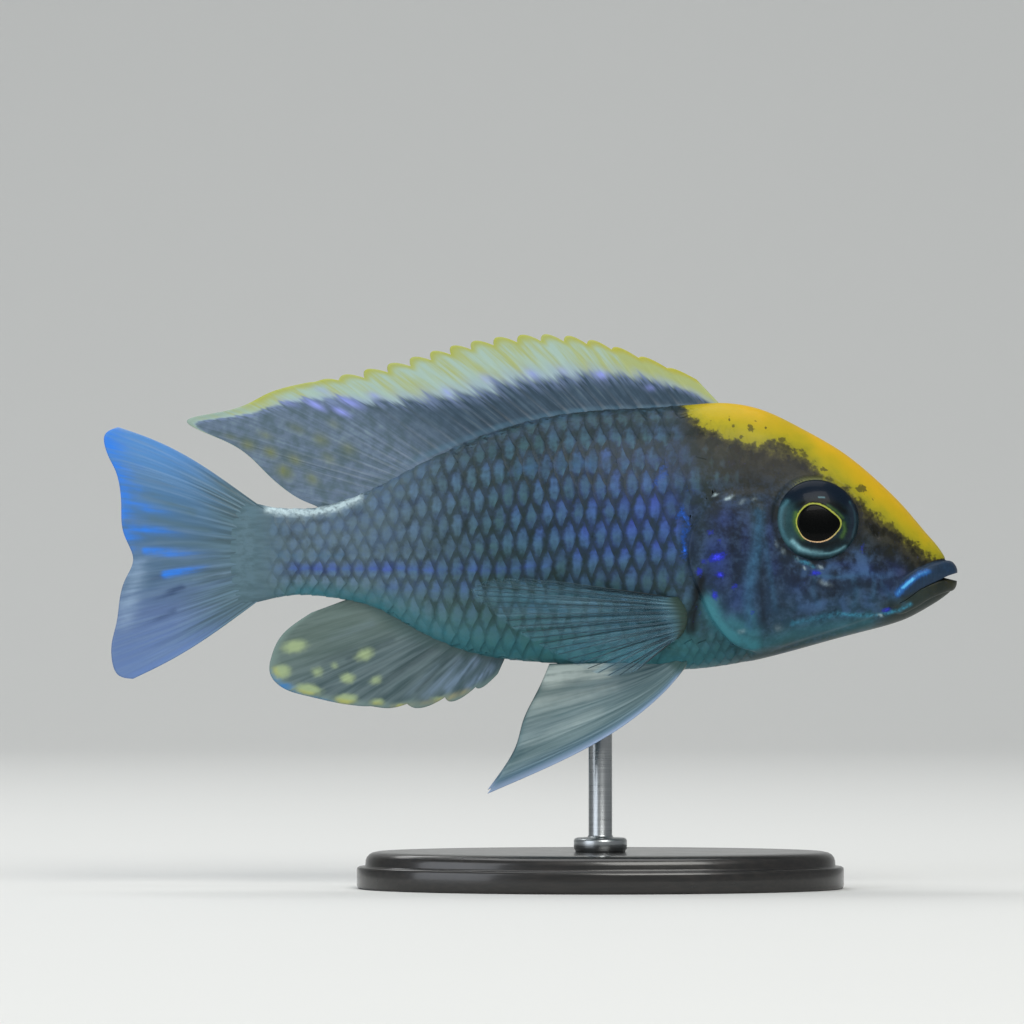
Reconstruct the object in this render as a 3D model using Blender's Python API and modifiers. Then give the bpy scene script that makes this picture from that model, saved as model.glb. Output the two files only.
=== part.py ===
"""A peacock cichlid as a still, life-size model on a display stand.

Units are metres with +Z up. The head points to +X, so the fish's right side faces -Y. The origin is on the
floor under the middle of the fish's length. The tables and the point functions below work in millimetres, in
the fish's own directions: "behind" runs back from the tip of the snout, "side" is positive on the left, and
"height" runs up from the body's axis. place() turns them into metres.
"""

import math

import bmesh
import bpy
import numpy as np
from mathutils import Vector

MM = 0.001
TOTAL_LENGTH = 115.0
AXIS_HEIGHT = 45.6
GAP = 0.3
WELD = 0.001 * MM
RIGHT, LEFT = -1.0, 1.0
SIDES = {"right": RIGHT, "left": LEFT}

# Behind the snout, then the heights of the back, the belly and the widest line, then the half width.
BODY_STATIONS = (
    (0.0, -3.4, -3.4, -3.4, 0.0),
    (0.34, -2.1, -5.1, -3.4, 1.4),
    (1.0, -1.1, -5.8, -3.4, 2.1),
    (2.1, 0.6, -6.6, -3.5, 2.8),
    (3.9, 2.7, -7.7, -3.6, 3.6),
    (6.6, 5.9, -9.1, -3.7, 4.5),
    (10.0, 9.3, -10.2, -3.5, 5.3),
    (15.4, 13.7, -11.6, -3.0, 6.3),
    (20.8, 16.8, -13.1, -2.5, 7.1),
    (26.2, 19.3, -14.5, -1.7, 7.7),
    (32.0, 20.2, -15.6, -1.0, 8.0),
    (40.2, 19.7, -16.1, -0.2, 8.0),
    (48.2, 19.3, -15.6, 0.5, 7.7),
    (56.0, 18.2, -15.0, 0.9, 7.0),
    (64.1, 15.8, -14.0, 1.0, 6.0),
    (72.3, 12.1, -10.9, 0.8, 4.8),
    (79.0, 8.6, -7.4, 0.5, 3.7),
    (84.5, 6.5, -6.2, 0.2, 2.9),
    (89.2, 5.9, -5.9, 0.0, 2.2),
    (93.3, 6.4, -6.7, 0.0, 1.6),
)
BACK_ROUNDNESS, NAPE_ROUNDNESS, BELLY_ROUNDNESS = 1.75, 2.1, 2.1
NAPE_START, NAPE_END = 14.0, 44.0
AROUND = 36
# The head's rings lie closer towards the snout. The first is at this share of the root of the head's length.
SNOUT_START = 0.035
HEAD_RINGS, TRUNK_RINGS, STALK_RINGS = 22, 16, 6

# The head ends along the gill opening: behind the snout on the nape, at the gill cover and on the throat.
NAPE_LINE, GILL_LINE, THROAT_LINE = 31.6, 36.0, 27.5
STALK_START, STALK_END = 82.9, 93.3

MOUTH_FRONT_UPPER, MOUTH_FRONT_LOWER = -1.2, -3.9
MOUTH_NOTCH, MOUTH_NOTCH_HEIGHT = 2.0, -3.9
MOUTH_CORNER, MOUTH_CORNER_HEIGHT = 8.2, -6.8
JAW_HINGE, BELOW_CHIN, BEFORE_SNOUT = 12.4, -14.0, -3.0
LIP_SWEEP = 8
UPPER_LIP = {"radius": 1.1, "front": -2.1, "corner": -6.1}
LOWER_LIP = {"radius": 0.9, "front": -4.85, "corner": -7.5}
LIP_SINK, LIP_END_SINK, LIP_END_SHARPNESS = 0.45, 1.1, 12

EYE_BEHIND, EYE_HEIGHT = 18.5, 4.6
EYE_RADIUS, EYE_DEPTH, EYE_SINK = 5.8, 2.3, 0.95
EYE_SLOPE_REACH = 4.0
ORBIT_RADIUS, ORBIT_ROUND, ORBIT_SINK, ORBIT_POINTS = 5.95, 0.5, 0.15, 40
NOSTRIL_BEHIND, NOSTRIL_HEIGHT, NOSTRIL_RADII = 10.8, 2.6, (0.5, 0.5, 0.6)

# Down the gill cover: the sine of the angle round the body, then the front and rear edges behind the snout.
GILL_COVER = (
    (0.44, 29.4, 31.0),
    (0.38, 28.2, 33.0),
    (0.24, 27.9, 35.2),
    (0.06, 28.1, 36.4),
    (-0.14, 28.0, 35.9),
    (-0.36, 27.8, 34.5),
    (-0.57, 27.2, 32.9),
    (-0.72, 26.2, 31.2),
    (-0.84, 25.4, 29.0),
    (-0.89, 25.9, 27.4),
)
GILL_COVER_ROWS, GILL_COVER_COLUMNS = 18, 8
GILL_COVER_THICK, GILL_COVER_EDGE = 0.7, 0.5

MEMBRANE = 0.5
RAY = 0.85
SPINY_STEPS = (0.0, 0.2, 0.6)
SOFT_STEPS = (0.0, 0.5)
LOBE_NOTCH = 0.08

# Ray number, its root behind the snout, then its tip behind the snout and above the axis.
DORSAL_SPINES, DORSAL_RAYS = 16, 26
DORSAL_KEYS = (
    (0, 32.2, 35.4, 23.8),
    (3, 39.8, 47.0, 28.2),
    (6, 47.1, 56.8, 29.5),
    (9, 54.4, 66.4, 28.3),
    (12, 61.8, 74.7, 26.0),
    (15, 69.1, 84.0, 23.7),
    (16, 70.8, 86.8, 23.1),
    (18, 73.2, 92.9, 21.5),
    (20, 75.1, 99.1, 19.0),
    (21, 76.1, 103.8, 17.9),
    (22, 77.0, 101.4, 16.1),
    (23, 78.4, 96.6, 13.8),
    (24, 80.6, 92.9, 10.4),
    (25, 83.8, 89.2, 7.4),
)
ANAL_SPINES, ANAL_RAYS = 3, 11
ANAL_KEYS = (
    (0, 62.2, 64.5, -19.1),
    (1, 63.9, 69.3, -20.6),
    (2, 65.8, 74.4, -21.1),
    (3, 67.5, 79.0, -20.9),
    (4, 69.0, 83.1, -20.5),
    (5, 70.5, 87.2, -19.6),
    (6, 71.9, 90.6, -18.6),
    (7, 73.3, 92.6, -16.6),
    (8, 75.0, 92.4, -14.0),
    (9, 77.4, 90.8, -11.0),
    (10, 81.2, 87.0, -8.2),
)
# The same for the tail fin, with the height of the root in the second place.
TAIL_RAYS = 17
TAIL_KEYS = (
    (0, 6.2, 113.6, 16.8),
    (2, 5.0, 114.9, 14.6),
    (5, 3.0, 113.4, 8.8),
    (7, 1.2, 112.5, 3.0),
    (8, 0.0, 111.4, -0.5),
    (9, -1.2, 112.4, -4.2),
    (11, -3.0, 113.4, -8.6),
    (14, -5.2, 113.9, -14.0),
    (16, -6.4, 111.8, -17.2),
)
TAIL_BOW_UPPER, TAIL_BOW_LOWER = 1.3, -0.8
# Ray number, root behind the snout and out from the middle, then the tip's behind, out and height.
PELVIC_SPINES, PELVIC_RAYS = 1, 6
PELVIC_KEYS = (
    (0, 35.7, 3.6, 63.2, 9.0, -32.5),
    (1, 36.2, 3.4, 61.8, 8.8, -30.9),
    (2, 36.8, 3.1, 59.6, 7.8, -27.0),
    (3, 37.5, 2.9, 58.2, 6.4, -22.6),
    (4, 38.1, 2.7, 56.8, 4.8, -19.5),
    (5, 38.9, 2.5, 54.9, 3.0, -16.4),
)
PELVIC_BOW = -3.1
PELVIC_CLEAR = 0.55
# Ray number, root height, then the tip behind the snout and above the axis.
PECTORAL_ROOT, PECTORAL_RAYS = 36.9, 13
PECTORAL_KEYS = (
    (0, -6.2, 54.0, -3.9),
    (1, -6.5, 59.8, -3.5),
    (2, -6.8, 64.4, -4.2),
    (3, -7.2, 65.2, -5.4),
    (4, -7.6, 63.6, -7.0),
    (6, -8.6, 59.5, -10.4),
    (8, -9.6, 54.5, -13.4),
    (10, -10.6, 49.2, -16.0),
    (11, -11.0, 46.3, -16.7),
    (12, -11.4, 43.1, -15.9),
)
PECTORAL_RISE, PECTORAL_FLARE = 1.3, 1.8
PECTORAL_TURN, PECTORAL_EASE = 0.06, 0.05
PECTORAL_ROWS = (0.0, 0.04, 0.1, 0.2, 0.4, 0.6, 0.8, 1.0)
FIN_ROWS = (0.0, 0.12, 0.3, 0.55, 0.8, 1.0)
BOW_SKEW = {"tail": 1.2, "pelvic": 0.65}
ROOT_THICK = {"dorsal": 1.5, "anal": 1.5, "tail": 2.2, "pelvic": 0.9, "pectoral": 1.0}
ROOT_FADE = 0.1

STAND_BEHIND = 47.9
BASE_HALF_LENGTH, BASE_HALF_WIDTH, BASE_THICK, BASE_AROUND = 33.0, 19.5, 5.0, 64
# The base's moulded edge: inset from its outer rim, and height as a share of its thickness.
BASE_EDGE = ((0.5, 0.0), (0.0, 0.1), (0.0, 0.5), (0.3, 0.6), (1.1, 0.6), (1.2, 0.78), (1.7, 0.93), (2.6, 1.0))
ROD_RADIUS, COLLAR_RADIUS, COLLAR_HEIGHT, COLLAR_EDGE = 1.6, 3.6, 1.6, 0.4
ROD_AROUND = 24

# Each finish's colour, roughness and metallic value.
FINISHES = {
    "head_skin": ((0.11, 0.15, 0.15), 0.35, 0.0),
    "lip_skin": ((0.07, 0.13, 0.22), 0.3, 0.0),
    "cheek_skin": ((0.05, 0.10, 0.22), 0.3, 0.0),
    "scaled_skin": ((0.12, 0.17, 0.26), 0.35, 0.0),
    "dorsal_membrane": ((0.40, 0.46, 0.30), 0.4, 0.0),
    "anal_membrane": ((0.20, 0.28, 0.26), 0.4, 0.0),
    "tail_membrane": ((0.16, 0.28, 0.50), 0.4, 0.0),
    "pelvic_membrane": ((0.36, 0.42, 0.46), 0.4, 0.0),
    "pectoral_membrane": ((0.12, 0.24, 0.28), 0.4, 0.0),
    "wet_eye": ((0.03, 0.05, 0.06), 0.08, 0.0),
    "lacquered_wood": ((0.02, 0.02, 0.02), 0.25, 0.0),
    "brushed_steel": ((0.55, 0.56, 0.57), 0.3, 1.0),
}


def material(name):
    """The Principled material of that finish."""
    found = bpy.data.materials.get(name)
    if found:
        return found
    colour, roughness, metallic = FINISHES[name]
    made = bpy.data.materials.new(name)
    made.use_nodes = True
    shader = made.node_tree.nodes["Principled BSDF"]
    shader.inputs["Base Color"].default_value = (*colour, 1.0)
    shader.inputs["Roughness"].default_value = roughness
    shader.inputs["Metallic"].default_value = metallic
    return made


def cubic(keys, values):
    """The natural cubic spline through the points (keys, values), as a function of a number or an array."""
    keys, values = np.array(keys, float), np.array(values, float)
    steps, slopes = np.diff(keys), np.diff(values) / np.diff(keys)
    system, right = np.eye(len(keys)), np.zeros(len(keys))
    for i in range(1, len(keys) - 1):
        system[i, i - 1 : i + 2] = steps[i - 1], 2 * (steps[i - 1] + steps[i]), steps[i]
        right[i] = 6 * (slopes[i] - slopes[i - 1])
    bends = np.linalg.solve(system, right)

    def at(key):
        i = np.clip(np.searchsorted(keys, key) - 1, 0, len(steps) - 1)
        before, after = (keys[i + 1] - key) / steps[i], (key - keys[i]) / steps[i]
        bend = (before**3 - before) * bends[i] + (after**3 - after) * bends[i + 1]
        return before * values[i] + after * values[i + 1] + bend * steps[i] ** 2 / 6

    return at


def columns(table):
    """A spline for each later column of a table, over its first column."""
    keys, *rest = zip(*table)
    return [cubic(keys, values) for values in rest]


# The stations are read over the square root of the distance, so that the snout comes out round.
BACK, BELLY, WIDEST, HALF_WIDTH = columns([(math.sqrt(row[0]), *row[1:]) for row in BODY_STATIONS])


def section(behind, grow=0.0):
    """Back, belly, widest height, half width and upper roundness of the body there, all swollen by grow."""
    key = np.sqrt(behind)
    nape = np.clip((behind - NAPE_START) / (NAPE_END - NAPE_START), 0, 1)
    roundness = NAPE_ROUNDNESS + (BACK_ROUNDNESS - NAPE_ROUNDNESS) * nape
    return BACK(key) + grow, BELLY(key) - grow, WIDEST(key), HALF_WIDTH(key) + grow, roundness


def body_point(behind, rise, facing, grow=0.0):
    """Points of the body's surface: rise is from -1 on the belly to 1 on the back, facing the side's sign."""
    back, belly, widest, half_width, upper = section(behind, grow)
    reach = np.where(rise > 0, back - widest, widest - belly)
    roundness = np.where(rise > 0, upper, BELLY_ROUNDNESS)
    side = half_width * np.clip(1 - np.abs(rise) ** roundness, 0, 1) ** (1 / roundness)
    return np.stack(np.broadcast_arrays(behind, side * facing, widest + reach * rise), axis=-1)


def flank_side(behind, height):
    """How far out the body's surface is at that height."""
    back, belly, widest, half_width, upper = section(behind)
    above = height > widest
    rise = (height - widest) / np.where(above, back - widest, widest - belly)
    roundness = np.where(above, upper, BELLY_ROUNDNESS)
    return half_width * np.clip(1 - np.abs(rise) ** roundness, 0, 1) ** (1 / roundness)


def belly_height(behind, side, grow):
    """The height of the body's underside, swollen by grow, that far out from the middle."""
    _, belly, widest, half_width, _ = section(behind, grow)
    drop = (1 - (side / half_width) ** BELLY_ROUNDNESS) ** (1 / BELLY_ROUNDNESS)
    return widest - (widest - belly) * drop


def place(points):
    """Points in millimetres (behind, side, height) as points in metres in the model's frame."""
    behind, side, height = np.moveaxis(np.asarray(points, float), -1, 0)
    return np.stack([TOTAL_LENGTH / 2 - behind, side, AXIS_HEIGHT + height], axis=-1) * MM


def new_object(name, points, faces, finish, into=None):
    """An object of points in metres and faces, its normals turned outwards."""
    mesh = bpy.data.meshes.new(name)
    mesh.from_pydata([tuple(p) for p in points], [], faces)
    return finish_mesh(name, mesh, finish, into)


def finish_mesh(name, mesh, finish, into=None):
    """Links a mesh as an object, with outward normals and smooth shading."""
    work = bmesh.new()
    work.from_mesh(mesh)
    bmesh.ops.recalc_face_normals(work, faces=work.faces)
    work.to_mesh(mesh)
    work.free()
    mesh.shade_smooth()
    mesh.set_sharp_from_angle(angle=math.radians(40))
    mesh.materials.append(material(finish))
    made = bpy.data.objects.new(name, mesh)
    (into or FISH).objects.link(made)
    return made


def loft(name, rings, finish):
    """A closed solid through rings of points, with each end closed by a fan to its middle."""
    rows, around = rings.shape[:2]
    points = np.concatenate([rings.reshape(-1, 3), rings[:1].mean(axis=1), rings[-1:].mean(axis=1)])
    front, rear = rows * around, rows * around + 1
    faces = []
    for j in range(around):
        k = (j + 1) % around
        for i in range(0, (rows - 1) * around, around):
            faces.append((i + j, i + k, i + around + k, i + around + j))
        faces += [(k, j, front), ((rows - 1) * around + j, (rows - 1) * around + k, rear)]
    return new_object(name, place(points), faces, finish)


def sheet(name, near, far, finish):
    """A closed sheet between two grids of points, with both faces split into triangles alike."""
    rows, across = near.shape[:2]
    count = rows * across
    faces = []
    for i in range(rows - 1):
        for j in range(across - 1):
            a, b = i * across + j, (i + 1) * across + j
            split = [(a, b, b + 1), (a, b + 1, a + 1)]
            faces += split + [tuple(corner + count for corner in reversed(face)) for face in split]
    rim = list(range(across))
    rim += [i * across + across - 1 for i in range(1, rows)]
    rim += [(rows - 1) * across + j for j in range(across - 2, -1, -1)]
    rim += [i * across for i in range(rows - 2, 0, -1)]
    for a, b in zip(rim, rim[1:] + rim[:1]):
        faces += [(a, b, b + count), (a, b + count, a + count)]
    points = np.concatenate([near.reshape(-1, 3), far.reshape(-1, 3)])
    return new_object(name, place(points), faces, finish)


def boolean(target, operation, cutter=None, collection=None):
    """Joins or cuts target with a cutter, or with all in a collection, and applies it."""
    modifier = target.modifiers.new(operation.lower(), "BOOLEAN")
    modifier.operation = operation
    modifier.solver = "EXACT"
    if collection:
        modifier.operand_type = "COLLECTION"
        modifier.collection = collection
    else:
        modifier.object = cutter
    bpy.context.view_layer.update()
    graph = bpy.context.evaluated_depsgraph_get()
    applied = bpy.data.meshes.new_from_object(target.evaluated_get(graph))
    target.modifiers.clear()
    target.data = applied


def join(target, pieces):
    """Unites pieces with target, then removes them."""
    joined = bpy.data.collections.new("joined")
    bpy.context.scene.collection.children.link(joined)
    for piece in pieces:
        for home in list(piece.users_collection):
            home.objects.unlink(piece)
        joined.objects.link(piece)
    boolean(target, "UNION", collection=joined)
    for piece in pieces:
        bpy.data.objects.remove(piece)
    bpy.data.collections.remove(joined)


def keep_largest(target):
    """Leaves only the largest closed surface of an object."""
    work = bmesh.new()
    work.from_mesh(target.data)
    left, shells = set(work.verts), []
    while left:
        edge, shell = [left.pop()], set()
        while edge:
            vertex = edge.pop()
            shell.add(vertex)
            near = {link.other_vert(vertex) for link in vertex.link_edges} & left
            left -= near
            edge += near
        shells.append(shell)
    shells.sort(key=lambda shell: max(v.co.x for v in shell) - min(v.co.x for v in shell))
    bmesh.ops.delete(work, geom=[v for shell in shells[:-1] for v in shell], context="VERTS")
    work.to_mesh(target.data)
    work.free()


def helper(made):
    """Marks a cutter, which isn't part of the model."""
    made.hide_render = True
    made.display_type = "WIRE"
    return made


def parting(rise):
    """Where the head ends, behind the snout, at each rise round the body."""
    end = np.where(rise > 0, NAPE_LINE, THROAT_LINE)
    return GILL_LINE + (end - GILL_LINE) * rise**2


def body_rings(behind_of, steps):
    """Rings round the body: behind_of gives each ring's distance at a step from 0 to 1 and at each rise."""
    angles = np.arange(AROUND) * 2 * np.pi / AROUND
    rise, facing = np.sin(angles), np.where(np.cos(angles) > 0, RIGHT, LEFT)
    return np.stack([body_point(behind_of(step, rise), rise, facing) for step in steps])


def head_loft(name, finish):
    """The whole head, closed mouthed and with no eyes, back to the gill opening."""
    steps = np.linspace(SNOUT_START, 1.0, HEAD_RINGS)
    return loft(name, body_rings(lambda step, rise: parting(rise) * step**2, steps), finish)


def tube(name, points, radius, closed, finish):
    """A round tube along points in millimetres, as a mesh: a closed ring, or an open run with filled caps."""
    curve = bpy.data.curves.new(name, "CURVE")
    curve.dimensions = "3D"
    curve.bevel_depth = radius * MM
    curve.bevel_resolution = 2
    curve.use_fill_caps = not closed
    spline = curve.splines.new("POLY")
    spline.points.add(len(points) - 1)
    spline.use_cyclic_u = closed
    for point, at in zip(spline.points, place(points)):
        point.co = (*at, 1.0)
    wire = bpy.data.objects.new(name + "_wire", curve)
    FISH.objects.link(wire)
    bpy.context.view_layer.update()
    graph = bpy.context.evaluated_depsgraph_get()
    mesh = bpy.data.meshes.new_from_object(wire.evaluated_get(graph))
    bpy.data.objects.remove(wire)
    work = bmesh.new()
    work.from_mesh(mesh)
    bmesh.ops.remove_doubles(work, verts=work.verts, dist=WELD)
    work.to_mesh(mesh)
    work.free()
    mesh.materials.clear()
    return finish_mesh(name, mesh, finish)


def lip(name, finish, radius, front, corner):
    """A lip: a tube bent like a horseshoe round the snout, its ends sunk in the cheeks."""
    turn = np.linspace(-np.pi / 2, np.pi / 2, 2 * LIP_SWEEP + 1)
    reach = MOUTH_CORNER - radius
    behind = MOUTH_CORNER - reach * np.cos(turn)
    sink = LIP_SINK + LIP_END_SINK * np.abs(np.sin(turn)) ** LIP_END_SHARPNESS
    out = flank_side(MOUTH_CORNER, corner) - sink
    height = front + (corner - front) * (behind - radius) / reach
    return tube(name, np.stack([behind, out * np.sin(turn), height], axis=-1), radius, False, finish)


def orbit(name, facing):
    """The raised rim of skin round an eye, a ring laid on the cheek's surface."""
    turn = np.arange(ORBIT_POINTS) * 2 * np.pi / ORBIT_POINTS
    behind = EYE_BEHIND + ORBIT_RADIUS * np.cos(turn)
    height = EYE_HEIGHT + ORBIT_RADIUS * np.sin(turn)
    side = (flank_side(behind, height) - ORBIT_SINK) * facing
    return tube(name, np.stack([behind, side, height], axis=-1), ORBIT_ROUND, True, "head_skin")


def prism(name, outline):
    """A cutter: an outline of (behind, height) drawn through the whole width of the fish."""
    half = 2 * max(row[4] for row in BODY_STATIONS)
    points = [(behind, side, height) for side in (-half, half) for behind, height in outline]
    count = len(outline)
    faces = [tuple(range(count)), tuple(range(2 * count - 1, count - 1, -1))]
    faces += [(i, (i + 1) % count, (i + 1) % count + count, i + count) for i in range(count)]
    return helper(new_object(name, place(points), faces, "head_skin", CUTTERS))


def jaw_outline(front, notch_gap, hinge):
    """The lower jaw's side view, from the front of the mouth to its corner, its hinge and below the chin."""
    return [
        (BEFORE_SNOUT, front),
        (MOUTH_NOTCH, MOUTH_NOTCH_HEIGHT - notch_gap),
        (MOUTH_CORNER, MOUTH_CORNER_HEIGHT - notch_gap),
        (hinge, BELOW_CHIN),
        (BEFORE_SNOUT, BELOW_CHIN),
    ]


def ball(name, radii, facing, behind, height, out, finish, into=None):
    """A flattened ball set in the head: out is its middle's place above the skin, along the skin's normal."""
    bpy.ops.mesh.primitive_uv_sphere_add(segments=24, ring_count=14, radius=1.0)
    sphere = bpy.context.object
    mesh = sphere.data.copy()
    bpy.data.objects.remove(sphere)
    made = finish_mesh(name, mesh, finish, into)
    back, front = (flank_side(behind + step, height) for step in (EYE_SLOPE_REACH, -EYE_SLOPE_REACH))
    above, below = (flank_side(behind, height + step) for step in (EYE_SLOPE_REACH, -EYE_SLOPE_REACH))
    span = 2 * EYE_SLOPE_REACH
    normal = Vector(((back - front) / span, facing, (below - above) / span)).normalized()
    skin = Vector(place((behind, flank_side(behind, height) * facing, height)))
    made.location = skin + normal * out * MM
    made.rotation_euler = normal.to_track_quat("Z", "Y").to_euler()
    made.scale = Vector(radii) * MM
    return made


def eyeball(name, grow, facing, finish, into=None):
    """An eyeball, flattened along its axis and swollen by grow."""
    radii = (EYE_RADIUS + grow, EYE_RADIUS + grow, EYE_DEPTH + grow)
    return ball(name, radii, facing, EYE_BEHIND, EYE_HEIGHT, -EYE_SINK, finish, into)


def nostril(name, facing):
    """The cutter of a nostril's pit."""
    made = ball(name, NOSTRIL_RADII, facing, NOSTRIL_BEHIND, NOSTRIL_HEIGHT, 0.0, "head_skin", CUTTERS)
    return helper(made)


def build_head():
    """The head with its open mouth, upper lip, orbit rims, eye sockets and nostrils."""
    head = head_loft("head", "head_skin")
    rims = [orbit(f"orbit_{name}", facing) for name, facing in SIDES.items()]
    join(head, [lip("upper_lip", "lip_skin", **UPPER_LIP)] + rims)
    boolean(head, "DIFFERENCE", prism("mouth_cut", jaw_outline(MOUTH_FRONT_UPPER, 0.0, JAW_HINGE)))
    for name, facing in SIDES.items():
        socket = helper(eyeball(f"socket_{name}", GAP, facing, "head_skin", CUTTERS))
        boolean(head, "DIFFERENCE", socket)
        pit = nostril(f"nostril_{name}", facing)
        boolean(head, "DIFFERENCE", pit)
    keep_largest(head)


def build_jaw():
    """The lower jaw with its lip, parted from the head by the line of the mouth."""
    jaw = head_loft("lower_jaw", "lip_skin")
    join(jaw, [lip("lower_lip", "lip_skin", **LOWER_LIP)])
    boolean(jaw, "INTERSECT", prism("jaw_keep", jaw_outline(MOUTH_FRONT_LOWER, GAP, JAW_HINGE - GAP)))
    keep_largest(jaw)


def build_eyes():
    """Both eyeballs, in their sockets."""
    for name, facing in SIDES.items():
        eyeball(f"eye_{name}", 0.0, facing, "wet_eye")


def build_trunk():
    """The trunk from the gill opening to the tail stalk, and the tail stalk to the root of its fin."""

    def trunk_ring(step, rise):
        return (parting(rise) + GAP) * (1 - step) + (STALK_START - GAP) * step

    def stalk_ring(step, rise):
        return np.full_like(rise, STALK_START + (STALK_END - STALK_START) * step)

    loft("trunk", body_rings(trunk_ring, np.linspace(0, 1, TRUNK_RINGS)), "scaled_skin")
    loft("tail_stalk", body_rings(stalk_ring, np.linspace(0, 1, STALK_RINGS)), "scaled_skin")


def build_gill_covers():
    """The gill covers, bony plates that lie over the rear of the head and end in a thin free edge."""
    rises = [row[0] for row in GILL_COVER]
    fronts, rears = columns([(-rise, front, rear) for rise, front, rear in GILL_COVER])
    rise = np.linspace(rises[0], rises[-1], GILL_COVER_ROWS)[:, None]
    share = np.linspace(0, 1, GILL_COVER_COLUMNS)[None, :]
    behind = fronts(-rise) * (1 - share) + rears(-rise) * share
    down = np.linspace(0, 1, GILL_COVER_ROWS)[:, None]
    crown = np.sqrt(np.sin(np.pi * share) * np.sin(np.pi * down))
    thick = GILL_COVER_EDGE + (GILL_COVER_THICK - GILL_COVER_EDGE) * crown
    for name, facing in SIDES.items():
        inner = body_point(behind, rise + 0 * share, facing, GAP)
        outer = body_point(behind, rise + 0 * share, facing, GAP + thick)
        sheet(f"gill_cover_{name}", inner, outer, "cheek_skin")


def ray_steps(rays, spines):
    """Ray numbers across a fin: on each ray and between it and the next, closer behind a spine."""
    steps = [i + part for i in range(rays - 1) for part in (SPINY_STEPS if i < spines else SOFT_STEPS)]
    return np.array(steps + [rays - 1.0])


def lobes(numbers, spines):
    """Each ray's length as a share of the margin's: it falls behind each spine and climbs to the next."""
    after = numbers - np.floor(numbers)
    lappet = (after > 0) & (numbers < spines - 0.5)
    return 1 - LOBE_NOTCH * np.where(lappet, (1 - after) ** 2, 0.0)


def bowed(amount, skew):
    """Rays that bow upwards by an amount for each ray number, most nearer the root if skew is under 1."""

    def shape(numbers, roots, tips, along):
        rise = amount(numbers)[None, :, None] * np.sin(np.pi * along**skew)
        return roots + (tips - roots) * along + rise * np.array([0.0, 0.0, 1.0])

    return shape


def fin(name, kind, root, tip, rays, spines, rows=FIN_ROWS, shape=None):
    """A fin: a membrane from a row of roots to a row of tips, each ray raised as a ridge on both faces.

    root and tip give points for ray numbers. shape, if any, gives the rows' points instead of straight rays.
    """
    numbers = ray_steps(rays, spines)
    along = np.array(rows)[:, None, None]
    roots, tips = root(numbers)[None], tip(numbers)[None]
    reach = lobes(numbers, spines)[None, :, None]
    middle = shape(numbers, roots, tips, along) if shape else roots + (tips - roots) * along * reach
    on_ray = (numbers == np.floor(numbers))[None, :]
    share = np.array(rows)[:, None]
    thick = MEMBRANE + on_ray * (RAY - MEMBRANE) * (1 - 0.6 * share)
    thick = np.maximum(thick, MEMBRANE + (ROOT_THICK[kind] - MEMBRANE) * np.exp(-share / ROOT_FADE))
    normal = np.cross(np.gradient(middle, axis=0), np.gradient(middle, axis=1))
    normal /= np.linalg.norm(normal, axis=-1, keepdims=True)
    half = normal * thick[..., None] / 2
    sheet(name, middle + half, middle - half, f"{kind}_membrane")


def points_of(*parts):
    """Points from columns of numbers, each of which may be one number for all."""
    return np.stack(np.broadcast_arrays(*parts), axis=-1).astype(float)


def build_median_fins():
    """The dorsal, anal and tail fins, upright in the middle plane."""
    root_at, tip_behind, tip_height = columns(DORSAL_KEYS)
    fin(
        "dorsal_fin",
        "dorsal",
        lambda n: points_of(root_at(n), 0.0, BACK(np.sqrt(root_at(n))) + GAP),
        lambda n: points_of(tip_behind(n), 0.0, tip_height(n)),
        DORSAL_RAYS,
        DORSAL_SPINES,
    )
    anal_root, anal_behind, anal_height = columns(ANAL_KEYS)
    fin(
        "anal_fin",
        "anal",
        lambda n: points_of(anal_root(n), 0.0, BELLY(np.sqrt(anal_root(n))) - GAP),
        lambda n: points_of(anal_behind(n), 0.0, anal_height(n)),
        ANAL_RAYS,
        ANAL_SPINES,
    )
    tail_root, tail_behind, tail_height = columns(TAIL_KEYS)

    def tail_bow(numbers):
        return TAIL_BOW_UPPER + (TAIL_BOW_LOWER - TAIL_BOW_UPPER) * numbers / (TAIL_RAYS - 1)

    fin(
        "tail_fin",
        "tail",
        lambda n: points_of(STALK_END + GAP, 0.0, tail_root(n)),
        lambda n: points_of(tail_behind(n), 0.0, tail_height(n)),
        TAIL_RAYS,
        0,
        shape=bowed(tail_bow, BOW_SKEW["tail"]),
    )


def build_pelvic_fins():
    """The pelvic fins, hung from the belly and swept back, their leading edge bowed."""
    root_at, root_out, tip_behind, tip_out, tip_height = columns(PELVIC_KEYS)
    for name, facing in SIDES.items():
        fin(
            f"pelvic_fin_{name}",
            "pelvic",
            lambda n, f=facing: points_of(
                root_at(n), root_out(n) * f, belly_height(root_at(n), root_out(n), PELVIC_CLEAR)
            ),
            lambda n, f=facing: points_of(tip_behind(n), tip_out(n) * f, tip_height(n)),
            PELVIC_RAYS,
            PELVIC_SPINES,
            shape=bowed(lambda n: PELVIC_BOW * (1 - n / (PELVIC_RAYS - 1)), BOW_SKEW["pelvic"]),
        )


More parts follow.
